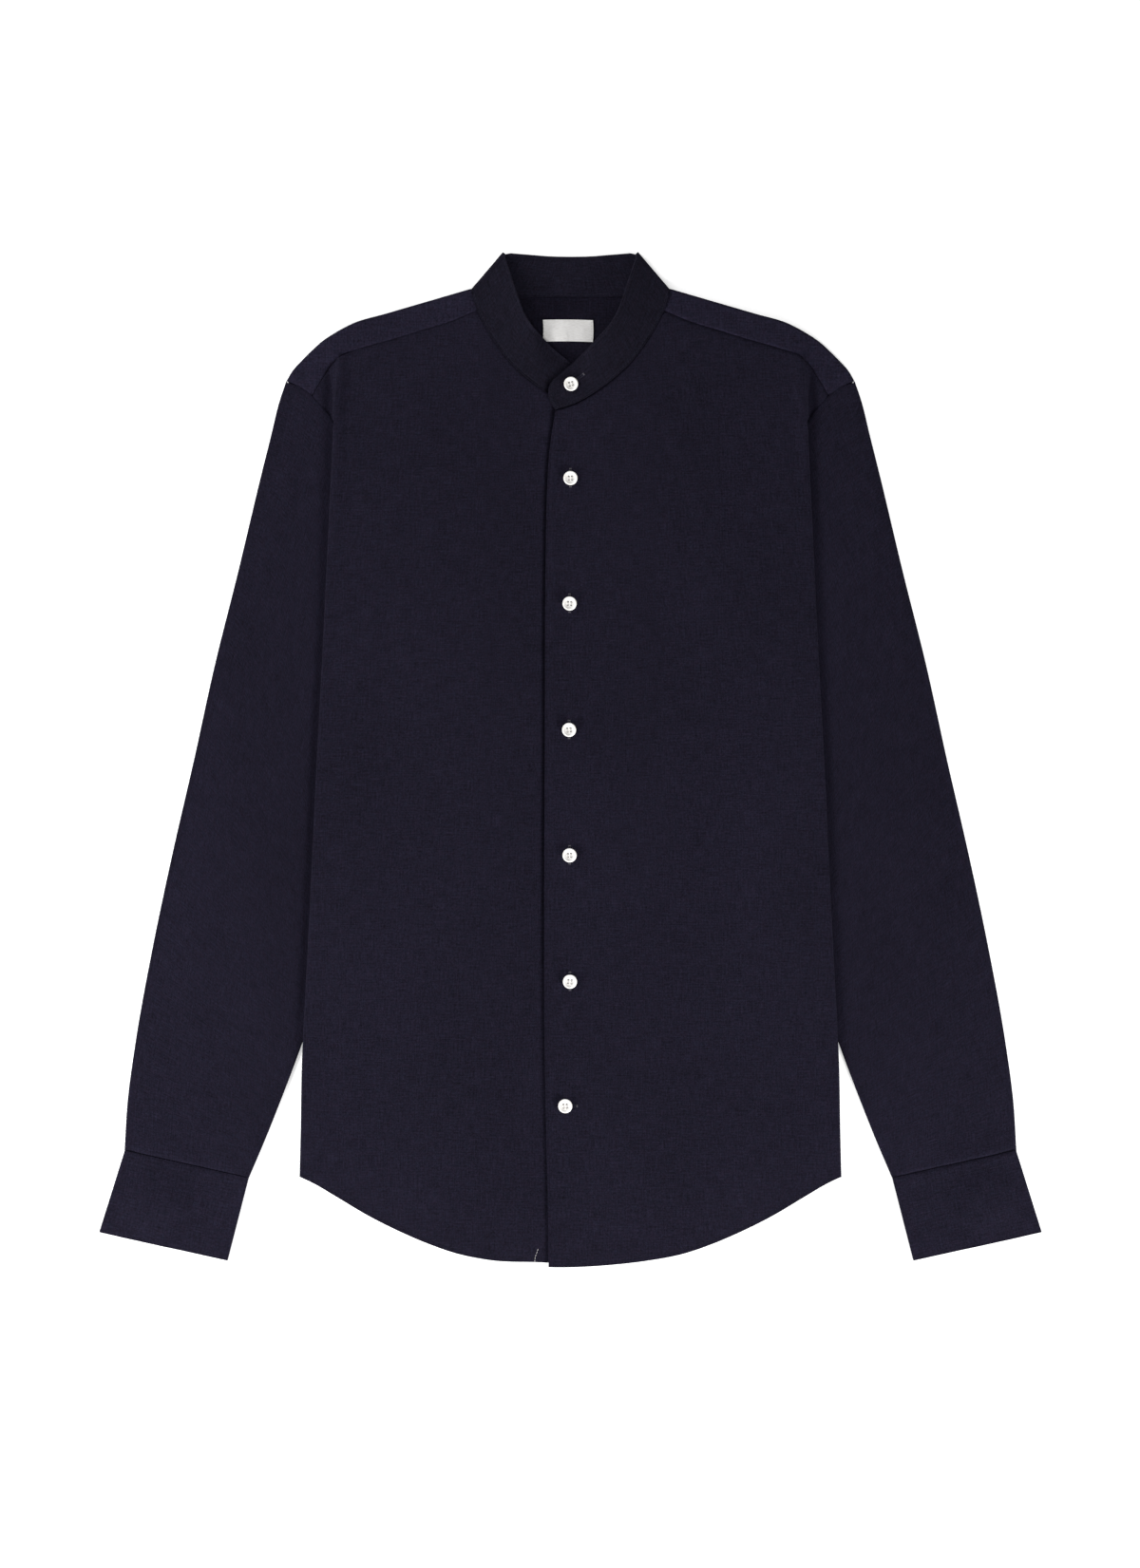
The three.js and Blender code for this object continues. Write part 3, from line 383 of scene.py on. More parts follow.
def front_height(x, y):
    """Middle of the body's upper ply: the fronts and the part of the yoke that shows."""
    lifted = over_sleeve(x, y, FRONT_SLOPE)
    hem_x = np.clip(x, FRONT_HEM(0)[0], FRONT_HEM(1)[0])
    loft = BODY_LOFT * smooth((y - front_hem_y(hem_x)) / HEM_SLOPE)
    middle = FRONT_PLY + (loft - HEM_DROP) * (1 - lifted)
    folded = mix(SHOULDER_PLY, middle, smooth(to_line(OUTER_LINE, x, y) / EDGE_SLOPE))
    opens = SIDE_FOLD_OPENS
    openness = np.clip((y - opens["low"]) / (opens["high"] - opens["low"]), 0, 1) ** opens["late"]
    past = (x - fold_x(y) + CLOTH) / mix(opens["narrow"], opens["wide"], openness)
    past = np.where(y > opens["low"], past, 0)
    trough = FOLD_TROUGH
    across = np.exp(-(((fold_x(y) - trough["inside"] - x) / trough["width"]) ** 2))
    along = smooth((y - trough["low"]) / trough["fade"]) * smooth((trough["high"] - y) / trough["fade"])
    return mix(folded, CAP_PLY, smooth(past)) - trough["depth"] * across * along


def sleeve_height(x, y):
    """Middle of a sleeve's upper ply."""
    showing = smooth((x - fold_x(y) + 2) / UNDERARM_SLOPE)
    from_inner = np.where(y < UNDERARM[1], to_line(INNER_LINE, x, y), np.inf)
    from_edges = smooth(to_line(OUTER_LINE, x, y) / EDGE_SLOPE) * smooth(from_inner / EDGE_SLOPE)
    from_fold = smooth((x - fold_x(y)) / EDGE_SLOPE)
    cap = (CAP_PLY - SLEEVE_PLY) * showing * smooth((y - CAP_START) / CAP_LENGTH)
    from_cap = smooth((SLEEVE_OUTER(0)[1] - y) / (3 * EDGE_SLOPE))
    return SLEEVE_PLY + cap + SLEEVE_PUFF * from_edges * from_fold * from_cap


def dip(distance, depth, width):
    """A soft trough: how far cloth sinks at a distance from a line."""
    return depth * np.exp(-((distance / width) ** 2))


def seam_dip(distance):
    """A seam is a narrow crevice in a soft valley."""
    return dip(distance, 0.85, 0.7) + dip(distance, 0.22, 2.2)


ARMHOLE_SEAM = {"shares": (0.3, 0.62), "from": 272, "over": 14}


def armhole_dip(x, y):
    """The armhole's seam is shallower, and most so where the body's fold comes near it."""
    share = mix(*ARMHOLE_SEAM["shares"], smooth((y - ARMHOLE_SEAM["from"]) / ARMHOLE_SEAM["over"]))
    return seam_dip(to_line(ARMHOLE_LINE, x, y)) * share


# A front's hem stitches, side fold, neck seam and front edge. `from` and `over` say where along y a size
# starts to change and over what length.
HEM_STITCH = 3.2  # from the hem's edge to its stitches
HEM_SLANT = 0.92  # distance from the hem for each millimetre of y
SHORT_OF_FOLD = 14  # the creases of a front fade out over this width before the side fold
RIDGE = {"inside": (3, 5), "height": (0.2, 1.05), "width": (4, 6), "from": 100, "over": 120}
RIDGE_TOP = {"inside": 2.5, "height": 0.9, "width": 3, "from": 235, "over": 30, "to": 335, "fade": 25}
NECK_SEAM = {"over": (1.5, 0.45), "under": (0.7, 0.45), "from": 282, "length": 45, "within_x": 72}
# The covered front sinks along the edge that lies on it, which is a little inside the solid's
PRESSED = {"least": 0.4, "more": 0.85, "from": -330, "over": 300, "out": -0.8, "width": 2.3}
EDGE_INSIDE = 1.7
EDGE_TOP_Y = 284  # above this the front edge runs into the neck seam
EDGE_ROLL_TOP_Y = 268
EDGE_ROLL = {"rise": (4, 0.35, 3), "fall": (0, 0.55, 1.3)}  # distance inside the edge, height, half width


def fold_ridge(x, y):
    """The roll of cloth just inside the side fold."""
    from_fold = fold_x(y) - x
    up = smooth((y - RIDGE["from"]) / RIDGE["over"])
    inside, height, width = (mix(*RIDGE[size], up) for size in ("inside", "height", "width"))
    top = RIDGE_TOP
    along = smooth((y - top["from"]) / top["over"]) * smooth((top["to"] - y) / top["fade"])
    ridge = dip(from_fold - inside, height, width)
    return ridge + dip(from_fold - top["inside"], top["height"] * along, top["width"])


class Front:
    """One front's shape. The wearer's left one lies over the right one, which is mirrored."""

    def __init__(self, over):
        self.over = over
        self.creases = FRONT_CREASES["left" if over else "right"]
        self.hem_lift = 0 if over else UNDER_HEM_LIFT

    def hem_y(self, x):
        return front_hem_y(x) + self.hem_lift * (1 - smooth((x - LAP_EDGE) / HEM_SLOPE))

    def at_edge(self, x, y):
        """How the front edge rolls, and how the covered front sinks under it."""
        if self.over:
            inside = x - front_edge_x(y) - EDGE_INSIDE
            (up_at, *up), (down_at, *down) = EDGE_ROLL["rise"], EDGE_ROLL["fall"]
            below_top = smooth((EDGE_ROLL_TOP_Y - y) / 12)
            return (dip(inside - up_at, *up) - dip(inside - down_at, *down)) * below_top
        room = PRESSED["least"] + PRESSED["more"] * smooth((y - PRESSED["from"]) / PRESSED["over"])
        past_edge = x + front_edge_x(y) - PRESSED["out"]
        return -dip(past_edge, room, PRESSED["width"]) * smooth((EDGE_TOP_Y - y) / 8)

    def at_seams(self, x, y):
        """How far it sinks at its neck and yoke seams and at the hem's stitches."""
        up_neck = smooth((y - NECK_SEAM["from"]) / NECK_SEAM["length"])
        at_neck = mix(*NECK_SEAM["over" if self.over else "under"], up_neck)
        seams = seam_dip(to_line(FRONT_SEAM_LINE, x, y)) * np.where(x < NECK_SEAM["within_x"], at_neck, 1)
        hem = (y - self.hem_y(np.clip(x, -25, 211))) * HEM_SLANT
        return seams + dip(hem - HEM_STITCH, 0.16, 0.9)

    def height(self, x, y):
        """Middle of its upper ply."""
        if self.over:
            offset = PLACKET_RISE * (1 - smooth((x - LAP_EDGE) / LAP_SLOPE))
        else:
            offset = -PLACKET_DIP * (1 - smooth((x - LAP_EDGE - 3) / LAP_SLOPE))
        near_fold = smooth((fold_x(y) - 3 - x) / SHORT_OF_FOLD)
        near_placket = smooth((x - LAP_EDGE) / LAP_SLOPE)
        folds = relief(self.creases, x, y) * near_fold * near_placket
        shaped = offset + folds + fold_ridge(x, y) + self.at_edge(x, y)
        return front_height(x, y) + shaped - self.at_seams(x, y)


# Meshes
def link(name, verts, faces, material, uvs=None, sharp=None):
    """A mesh object from points in millimetres. uvs has a pair in metres for each corner of each face."""
    mesh = bpy.data.meshes.new(name)
    mesh.from_pydata((np.asarray(verts) * MM).tolist(), [], [list(f) for f in faces])
    if uvs is not None:
        layer = mesh.uv_layers.new(name="weave")
        layer.data.foreach_set("uv", np.asarray(uvs, np.float32).ravel())
    mesh.polygons.foreach_set("use_smooth", [True] * len(mesh.polygons))
    if sharp is not None:
        mesh.set_sharp_from_angle(angle=math.radians(sharp))
    mesh.materials.append(material)
    mesh.update()
    piece = bpy.data.objects.new(name, mesh)
    bpy.context.scene.collection.objects.link(piece)
    return piece


def normals_of(grid, loop=False):
    """Unit normals at the points of a grid."""
    if loop:
        along = np.roll(grid, -1, 0) - np.roll(grid, 1, 0)
    else:
        along = np.vstack([grid[1:2] - grid[:1], grid[2:] - grid[:-2], grid[-1:] - grid[-2:-1]])
    across = np.concatenate(
        [grid[:, 1:2] - grid[:, :1], grid[:, 2:] - grid[:, :-2], grid[:, -1:] - grid[:, -2:-1]], 1
    )
    return unit(np.cross(along, across))


def shell(name, grid, thickness, uv, material, loop=False):
    """Thickens a grid of points (rows, columns, 3). `loop` joins its last row to its first.
    uv has a pair for each point in millimetres, and one more row if the grid is a loop."""
    rows, cols = grid.shape[:2]
    normal = normals_of(grid, loop)
    points = np.vstack([
        (grid + normal * thickness / 2).reshape(-1, 3), (grid - normal * thickness / 2).reshape(-1, 3)
    ])
    last = rows if loop else rows - 1
    i, j = np.meshgrid(np.arange(last), np.arange(cols - 1), indexing="ij")
    i, j = i.ravel(), j.ravel()

    def corners(side, r, c):
        """Vertex number and row and column of the uv for a corner."""
        return np.stack([side * rows * cols + (r % rows) * cols + c, r, c], -1)

    def quads(*four):
        """Faces with four corners, each a side, a row and a column."""
        return np.stack([corners(*corner) for corner in four], 1)

    r = np.arange(last)
    first, end = np.zeros_like(r), np.full_like(r, cols - 1)
    made = [
        quads((0, i, j), (0, i + 1, j), (0, i + 1, j + 1), (0, i, j + 1)),
        quads((1, i, j), (1, i, j + 1), (1, i + 1, j + 1), (1, i + 1, j)),
        quads((0, r, first), (1, r, first), (1, r + 1, first), (0, r + 1, first)),
        quads((0, r + 1, end), (1, r + 1, end), (1, r, end), (0, r, end)),
    ]
    if not loop:
        c = np.arange(cols - 1)
        top, foot = np.zeros_like(c), np.full_like(c, rows - 1)
        made += [
            quads((0, top, c + 1), (1, top, c + 1), (1, top, c), (0, top, c)),
            quads((0, foot, c), (1, foot, c), (1, foot, c + 1), (0, foot, c + 1)),
        ]
    faces = np.concatenate(made)
    a, b, c, d = (points[faces[:, k, 0]] for k in range(4))
    volume = np.einsum("ij,ij->i", a, np.cross(b, c)).sum() + np.einsum("ij,ij->i", a, np.cross(c, d)).sum()
    if volume < 0:
        faces = faces[:, ::-1]
    pairs = uv[faces[:, :, 1], faces[:, :, 2]].reshape(-1, 2) * MM
    return link(name, points, faces[:, :, 0].tolist(), material, pairs, sharp=52)


def arc(grid, axis, start=0.0):
    """Distance along the rows (axis 0) or the columns (axis 1) of a grid."""
    steps = np.linalg.norm(np.diff(grid, axis=axis), axis=-1)
    zero = np.zeros_like(np.take(grid[..., 0], [0], axis=axis))
    return start + np.concatenate([zero, np.cumsum(steps, axis=axis)], axis=axis)


def mirrored(grid):
    return grid * np.array([-1, 1, 1])


def half_turn(rim, inward, upper, lower, half, turns, reach=np.inf):
    """Points of a half turn from the upper ply to the lower one. `rim` is its outermost point in plan,
    and `reach` the most that it curves inwards."""
    radius = np.asarray((upper - lower) / 2)[..., None]
    inset = half + np.minimum(radius, reach) * (1 - np.sin(turns))
    plan = rim[..., None, :] + inward[..., None, :] * inset[..., None]
    return with_height(plan, np.asarray(lower)[..., None] + radius + radius * np.cos(turns))


def place(piece, slot, *nodes):
    """Ties a piece to the body and hides the solids that it stands for. The colour slot given is not used."""
    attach(piece, "root")
    if nodes:
        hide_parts(*nodes)
    return piece


# Materials
class Nodes:
    """A material's node tree, with short calls for its nodes."""

    def __init__(self, name):
        self.material = bpy.data.materials.new(name)
        self.material.use_nodes = True
        self.tree = self.material.node_tree
        self.shader = self.tree.nodes["Principled BSDF"]
        uv = self.tree.nodes.new("ShaderNodeUVMap")
        uv.uv_map = "weave"
        self.uv = uv.outputs[0]

    def new(self, kind, **values):
        node = self.tree.nodes.new(kind)
        for key, value in values.items():
            setattr(node, key, value)
        return node

    def wire(self, source, socket):
        if isinstance(source, bpy.types.NodeSocket):
            self.tree.links.new(source, socket)
        else:
            socket.default_value = source

    def set(self, **sockets):
        """Sets the shader's own sockets, named with _ for a space."""
        for name, value in sockets.items():
            self.shader.inputs[name.replace("_", " ")].default_value = value

    def maths(self, operation, a, b=0.0):
        node = self.new("ShaderNodeMath", operation=operation)
        self.wire(a, node.inputs[0])
        self.wire(b, node.inputs[1])
        return node.outputs[0]

    def scaled(self, vector, x, y, z=1.0):
        node = self.new("ShaderNodeVectorMath", operation="MULTIPLY")
        self.wire(vector, node.inputs[0])
        node.inputs[1].default_value = (x, y, z)
        return node.outputs[0]

    def noise(self, vector, detail=2.0, roughness=0.5):
        node = self.new("ShaderNodeTexNoise")
        self.wire(vector, node.inputs["Vector"])
        node.inputs["Scale"].default_value = 1.0
        node.inputs["Detail"].default_value = detail
        node.inputs["Roughness"].default_value = roughness
        return node.outputs["Fac"]

    def ramp(self, factor, *stops):
        node = self.new("ShaderNodeValToRGB")
        self.wire(factor, node.inputs[0])
        elements = node.color_ramp.elements
        while len(elements) < len(stops):
            elements.new(0.5)
        for element, (position, colour) in zip(elements, stops):
            element.position = position
            element.color = (*colour, 1)
        return node.outputs[0]

    def between(self, low, high, factor):
        node = self.new("ShaderNodeMapRange")
        self.wire(factor, node.inputs[0])
        node.inputs[1].default_value, node.inputs[2].default_value = 0.2, 0.8
        node.inputs[3].default_value, node.inputs[4].default_value = low, high
        return node.outputs[0]

    def blend(self, a, b, factor):
        node = self.new("ShaderNodeMix", data_type="RGBA")
        self.wire(factor, node.inputs[0])
        self.wire(a, node.inputs[6])
        self.wire(b, node.inputs[7])
        return node.outputs[2]

    def mixture(self, *parts):
        """The sum of values, each times its number."""
        total = 0.0
        for value, times in parts:
            total = self.maths("ADD", total, self.maths("MULTIPLY", value, times))
        return total

    def wave(self, value, length):
        return self.maths("SINE", self.maths("MULTIPLY", value, 2 * math.pi / length))

    def bump(self, height, distance, strength=1.0, normal=None):
        node = self.new("ShaderNodeBump")
        self.wire(height, node.inputs["Height"])
        node.inputs["Distance"].default_value = distance
        node.inputs["Strength"].default_value = strength
        if normal is not None:
            self.wire(normal, node.inputs["Normal"])
        return node.outputs[0]


THREAD_PITCH = 0.00062  # metres from thread to thread, both ways
# Below this v of the uv, in metres, the cloth that shows inside the neck gets a painted tone: painted shade
# on the yoke, painted light on the back of the collar.
PAINTED_INSIDE_V = 0.367
NAVY_LINEAR = (0.0083, 0.0071, 0.0146)


def cloth_material(name, tone=1.0, painted_inside_tone=None, dye_and_painted_shade=NAVY_LINEAR):
    """Soft brushed plain weave with uneven threads, in a very dark blue with a violet cast. The tone and the
    dye given can carry painted light and shade. `painted_inside_tone` is a painted tone where the uv's v is
    below PAINTED_INSIDE_V, in metres: painted shade on the yoke where it shows inside the neck, painted light
    on the back of the collar."""
    n = Nodes(name)
    split = n.new("ShaderNodeSeparateXYZ")
    wander = n.noise(n.scaled(n.uv, 90, 90))
    n.wire(n.uv, split.inputs[0])
    u = n.maths("ADD", split.outputs[0], n.maths("MULTIPLY", wander, 0.0009))
    v = n.maths("ADD", split.outputs[1], n.maths("MULTIPLY", wander, 0.0007))
    weave = n.maths("MULTIPLY", n.wave(u, 2 * THREAD_PITCH), n.wave(v, 2 * THREAD_PITCH))
    warp = n.noise(n.scaled(n.uv, 1150, 75), detail=3)
    weft = n.noise(n.scaled(n.uv, 70, 1250), detail=3)
    fibre = n.noise(n.scaled(n.uv, 620, 620), detail=4, roughness=0.65)
    mottle = n.noise(n.scaled(n.uv, 95, 80), detail=3, roughness=0.6)
    wash = n.noise(n.scaled(n.uv, 9, 6), detail=2)
    slubs = n.maths("MULTIPLY", n.maths("ADD", warp, weft), 0.5)
    shade = n.mixture((slubs, 0.44), (fibre, 0.4), (mottle, 0.08), (wash, 0.08))
    hue = n.noise(n.scaled(n.uv, 210, 260), detail=3, roughness=0.6)
    tones = []
    for cast in ((1.13, 0.965, 0.985), (0.87, 1.04, 1.03)):
        tint = [c * k * tone for c, k in zip(dye_and_painted_shade, cast)]
        stops = [(0.36, 0.3), (0.5, 1.0), (0.64, 1.85)]
        tones.append(n.ramp(shade, *[(at, tuple(c * k for c in tint)) for at, k in stops]))
    colour = n.blend(*tones, n.between(0.0, 1.0, hue))
    # A painted tone for the cloth inside the neck: painted shade on the yoke, painted light on the back of
    # the collar.
    if painted_inside_tone is not None:
        painted_inside = n.new("ShaderNodeHueSaturation")
        painted_inside.inputs["Value"].default_value = painted_inside_tone / tone
        n.wire(colour, painted_inside.inputs["Color"])
        colour = n.blend(painted_inside.outputs[0], colour, n.maths("GREATER_THAN", split.outputs[1], PAINTED_INSIDE_V))
    n.wire(colour, n.shader.inputs["Base Color"])
    n.wire(n.between(0.98, 0.86, fibre), n.shader.inputs["Roughness"])
    threads = n.bump(n.mixture((weave, 0.22), (slubs, 1.1), (fibre, 0.8)), 0.00022, 0.8)
    n.wire(n.bump(mottle, 0.0006, 0.35, threads), n.shader.inputs["Normal"])
    n.set(Specular_IOR_Level=0.05, Sheen_Weight=0.012, Sheen_Roughness=0.55, Sheen_Tint=(0.78, 0.78, 1, 1))
    return n.material


def thread_material(name, colour):
    """Twisted sewing thread."""
    n = Nodes(name)
    twist = n.noise(n.scaled(n.new("ShaderNodeTexCoord").outputs["Object"], 2600, 2600, 2600), detail=2)
    low, high = (tuple(c * k for c in colour) for k in (0.72, 1.25))
    n.wire(n.ramp(twist, (0.3, low), (0.7, high)), n.shader.inputs["Base Color"])
    n.wire(n.between(0.5, 0.72, twist), n.shader.inputs["Roughness"])
    n.wire(n.bump(twist, 0.0001, 0.6), n.shader.inputs["Normal"])
    n.set(Specular_IOR_Level=0.08)
    return n.material


def pearl_material():
    """Off-white button with a faint cloudy lustre."""
    n = Nodes("Button_pearl")
    inside = n.new("ShaderNodeTexCoord").outputs["Object"]
    cloud = n.noise(n.scaled(inside, 210, 260, 400), detail=3, roughness=0.55)
    fine = n.noise(n.scaled(inside, 1800, 1800, 1800), detail=2)
    tones = ((0.32, (0.76, 0.73, 0.69)), (0.5, (0.86, 0.845, 0.82)), (0.7, (0.9, 0.89, 0.88)))
    n.wire(n.ramp(cloud, *tones), n.shader.inputs["Base Color"])
    n.wire(n.between(0.24, 0.42, cloud), n.shader.inputs["Roughness"])
    n.wire(n.bump(fine, 0.00003, 0.5), n.shader.inputs["Normal"])
    n.set(Coat_Weight=0.25, Coat_Roughness=0.18)
    n.set(Subsurface_Weight=0.08, Subsurface_Radius=(0.0012, 0.0011, 0.001))
    return n.material


def tape_material():
    """Woven satin tape, off-white, with its ribs across it."""
    n = Nodes("Label_tape")
    split = n.new("ShaderNodeSeparateXYZ")
    n.wire(n.uv, split.inputs[0])
    ribs, ends = n.wave(split.outputs[1], 0.0006), n.wave(split.outputs[0], 0.00045)
    uneven = n.noise(n.scaled(n.uv, 320, 1500), detail=3)
    soil = n.noise(n.scaled(n.uv, 60, 60), detail=2)
    shade = n.mixture((uneven, 0.6), (soil, 0.4))
    tones = ((0.3, (0.66, 0.645, 0.63)), (0.55, (0.8, 0.79, 0.78)), (0.75, (0.86, 0.855, 0.85)))
    n.wire(n.ramp(shade, *tones), n.shader.inputs["Base Color"])
    n.wire(n.between(0.55, 0.75, uneven), n.shader.inputs["Roughness"])
    height = n.mixture((ribs, 1.0), (ends, 0.5), (uneven, 2.0))
    n.wire(n.bump(height, 0.00006, 0.8), n.shader.inputs["Normal"])
    n.set(Sheen_Weight=0.15)
    return n.material


# The yoke and the collar are cut from the same cloth. Their copies of it carry painted light and shade: the
# yoke's is paler, painted light where it slopes away from the lamps, and darker where it shows inside the
# neck, painted shade. The collar's is darker, painted shade, and on the back of the band inside the neck it
# is lifted again to about the plain cloth's tone.
NAVY = cloth_material("Navy_cloth")
# Painted light: the yoke's copy is paler. Painted shade where it lies inside the neck.
NAVY_YOKE_PAINTED_LIGHT_AND_SHADE = cloth_material("Navy_cloth_yoke_painted_light_and_shade", 1.36, painted_inside_tone=0.84)
# Painted shade: a darker dye than the other cloth, on the standing front of the band. Its back inside the
# neck is lifted again by painted light to about the plain cloth's tone.
NAVY_COLLAR_PAINTED_SHADE = cloth_material("Navy_cloth_collar_painted_shade", painted_inside_tone=1.3, dye_and_painted_shade=(0.0065, 0.0057, 0.0110))
NAVY_THREAD = thread_material("Navy_thread", (0.0145, 0.0135, 0.0235))
PALE_THREAD = thread_material("Pale_thread", (0.62, 0.6, 0.58))
GREY_THREAD = thread_material("Grey_thread", (0.085, 0.08, 0.095))
PEARL = pearl_material()
TAPE = tape_material()

# Fronts
FRONT_LENGTH = 725
PITCH = 3.1
TURNS = np.linspace(0, math.pi, 9)
UNDER_STEPS = 16  # columns under the side fold
NEAR_SEAM = (0.15, 0.35, 0.6, 1, 1.6, 2.6, 4)
NEAR_HEM = (0.6, 1.4, 2.3, 3.2, 4.1, 5.4)
OPEN_ROWS = (0, 0.013, 0.034)  # shares of the front's length at which its side bends at the top
MORPH = (0.066, 0.092)  # shares of the front's length between which its strip turns into the side fold
OPEN_END = 0.0735
UNDER_LAP = (0.225, 0.415)  # shares of the neck between which the covered front has close columns
CREST = PLY / 2 + 0.77  # from the side fold's outermost point to the start of its turn
BEYOND_FOLD = {"out": 3.6, "depth": 1.4, "width": 5}  # the flat strip sinks beside the fold's line
# Where each piece starts on the cloth, so that no two have the same threads
UV_START = {
    "front_right": (900, 40), "back": 1800, "yoke": 2700, "collar": 50, "sleeve": 4500, "cuff": 5600,
    "cuff_right": 300, "inside": 3600,
}


def front_sides():
    """Shares of a front's length, and the points where it meets the sleeve or the back there."""
    shares = spaced(FRONT_LENGTH, PITCH, NEAR_SEAM, NEAR_HEM)
    ends = share_at_y(ARMHOLE_FRONT, YOKE_CORNER_Y), share_at_y(ARMHOLE_FRONT, FOLD_CROSSING_Y)
    fold_share = (FOLD_TOP_Y - UNDERARM[1]) / (FOLD_TOP_Y - FOLD_HEM_Y)
    open_t = np.interp(shares, (*OPEN_ROWS, OPEN_END), mix(*ends, np.array([0, 0.35, 0.7, 1])))
    hidden_t = share_at_y(ARMHOLE_FRONT, FOLD_TOP_Y - shares * (FOLD_TOP_Y - FOLD_HEM_Y))
    armhole = beside(ARMHOLE_FRONT, np.where(shares < OPEN_END, open_t, hidden_t), -HALF_SEAM)
    seam = beside(SIDE_SEAM, np.clip((shares - fold_share) / (1 - fold_share), 0, 1), HALF_SEAM)
    return shares, np.where((shares < fold_share)[:, None], armhole, seam)


def front_grid(front):
    """A front from its edge to the side fold, and round it to the seam under it. At the top of the
    fold, the strip beyond it lies flat and meets the sleeve and the yoke."""
    if front.over:
        shares = spaced(NECK_FRONT.length, 2.6, (0.5, 1, 1.6, 2.3, 3.1, 4.2))
    else:
        low, high = UNDER_LAP
        shares = runs((0, low, 13), (low, high, 30), (high, 1, 31))
    neck = beside(NECK_FRONT, shares[:-1], -HALF_SEAM)
    seam = beside(YOKE_SEAM, spaced(YOKE_SEAM.length, 2.9), -HALF_SEAM)
    tops = np.vstack([neck, seam])
    shares, edge = front_sides()
    s = shares[:, None]

    def crest_x(y):
        return fold_x(y) - CREST

    def start_x(y):
        return front_edge_x(y) + EDGE_INSIDE * front.over * smooth((EDGE_TOP_Y - y) / 12)

    f = (tops[:, 0] - start_x(tops[:, 1])) / (crest_x(tops[:, 1]) - start_x(tops[:, 1]))
    f = mix(f, np.minimum(f, 1), smooth(s / 0.04))
    hem_x = mix(start_x(FRONT_EDGE(1)[1]), crest_x(FOLD_HEM_Y), f)
    y = mix(tops[:, 1], front.hem_y(hem_x), s)
    x = mix(start_x(y), crest_x(y), f)
    across = np.stack([x, y, front.height(x, y)], -1)

    crest = across[:, -1]
    lower = return_height(fold_x(crest[:, 1]) - 1, crest[:, 1])
    rim = np.stack([fold_x(crest[:, 1]), crest[:, 1]], -1)
    roll = half_turn(rim, np.array([-1.0, 0.0]), crest[:, 2], lower, PLY / 2, TURNS[1:])
    back_in = mix_points(roll[:, -1:, :2], edge[:, None], np.linspace(0, 1, UNDER_STEPS + 1)[1:])
    under = with_height(back_in, return_height(back_in[..., 0], back_in[..., 1]))
    folded = np.concatenate([roll, under], 1)

    t = np.linspace(0, 1, folded.shape[1] + 1)[1:]
    bow = beside(YOKE_SEAM_END, t, -HALF_SEAM) - mix_points(YOKE_SEAM_END(0), YOKE_SEAM_END(1), t)
    fade = np.clip(1 - shares / OPEN_END, 0, 1)[:, None, None]
    out = mix_points(crest[:, None, :2], edge[:, None], t) + bow * fade
    x, y = out[..., 0], out[..., 1]
    sunk = seam_dip(to_line(FRONT_SEAM_LINE, x, y)) + armhole_dip(x, y)
    sunk = sunk + dip(x - fold_x(y) - BEYOND_FOLD["out"], BEYOND_FOLD["depth"], BEYOND_FOLD["width"])
    flat = with_height(out, front_height(x, y) - sunk)
    turned = smooth((shares - MORPH[0]) / (MORPH[1] - MORPH[0]))[:, None]
    return np.concatenate([across, mix_points(flat, folded, turned)], 1)


def plan_uv(grid, start_x):
    """Threads that run down the piece: across it the arc length, along it y."""
    return np.stack([arc(grid, 1, start_x), grid[..., 1]], -1)


def build_fronts():
    left, right = Front(True), Front(False)
    grid = front_grid(left)
    over = shell("Front_left", grid, PLY, plan_uv(grid, grid[:, :1, 0]), NAVY)
    place(over, "navy_cloth", "front_left")
    grid = front_grid(right)
    uv = plan_uv(grid, grid[:, :1, 0]) * np.array([-1, 1]) + UV_START["front_right"]
    under = shell("Front_right", mirrored(grid), PLY, uv, NAVY)
    place(under, "navy_cloth", "front_right")
    return left, right


# Back
BACK_PITCH = 4
BACK_COLUMNS = 103


def build_back():
    start = share_at_y(ARMHOLE_BACK, BACK_YOKE_SEAM_Y)
    length = ARMHOLE_BACK.length * (1 - start)
    sides = np.vstack([
        beside(ARMHOLE_BACK, mix(start, 1, spaced(length, BACK_PITCH, NEAR_SEAM)), -HALF_SEAM),
        beside(SIDE_SEAM, spaced(SIDE_SEAM.length, BACK_PITCH, near_end=NEAR_HEM)[1:], -HALF_SEAM),
    ])
    share = (BACK_YOKE_SEAM_Y - sides[:, 1:]) / (BACK_YOKE_SEAM_Y - BACK_HEM(1)[1])
    c = np.linspace(-1, 1, BACK_COLUMNS)
    x = sides[:, :1] * c
    y = mix(BACK_YOKE_SEAM_Y - HALF_SEAM, back_hem_y(np.abs(c) * BACK_HEM(1)[0]), share)
    grid = np.stack([x, y, back_height(x, y)], -1)
    uv = np.stack([x + UV_START["back"], y], -1)
    back = place(shell("Back", grid, PLY, uv, NAVY), "navy_cloth", "back")


# Yoke
YOKE_ROWS = (0, 0.008, 0.018, 0.03, 0.05, 0.08, 0.13, 0.2, 0.32, 0.45, 0.6, 0.75, 0.88)
BOW_END = 0.12  # share of the seam over which the curves at its ends fade out


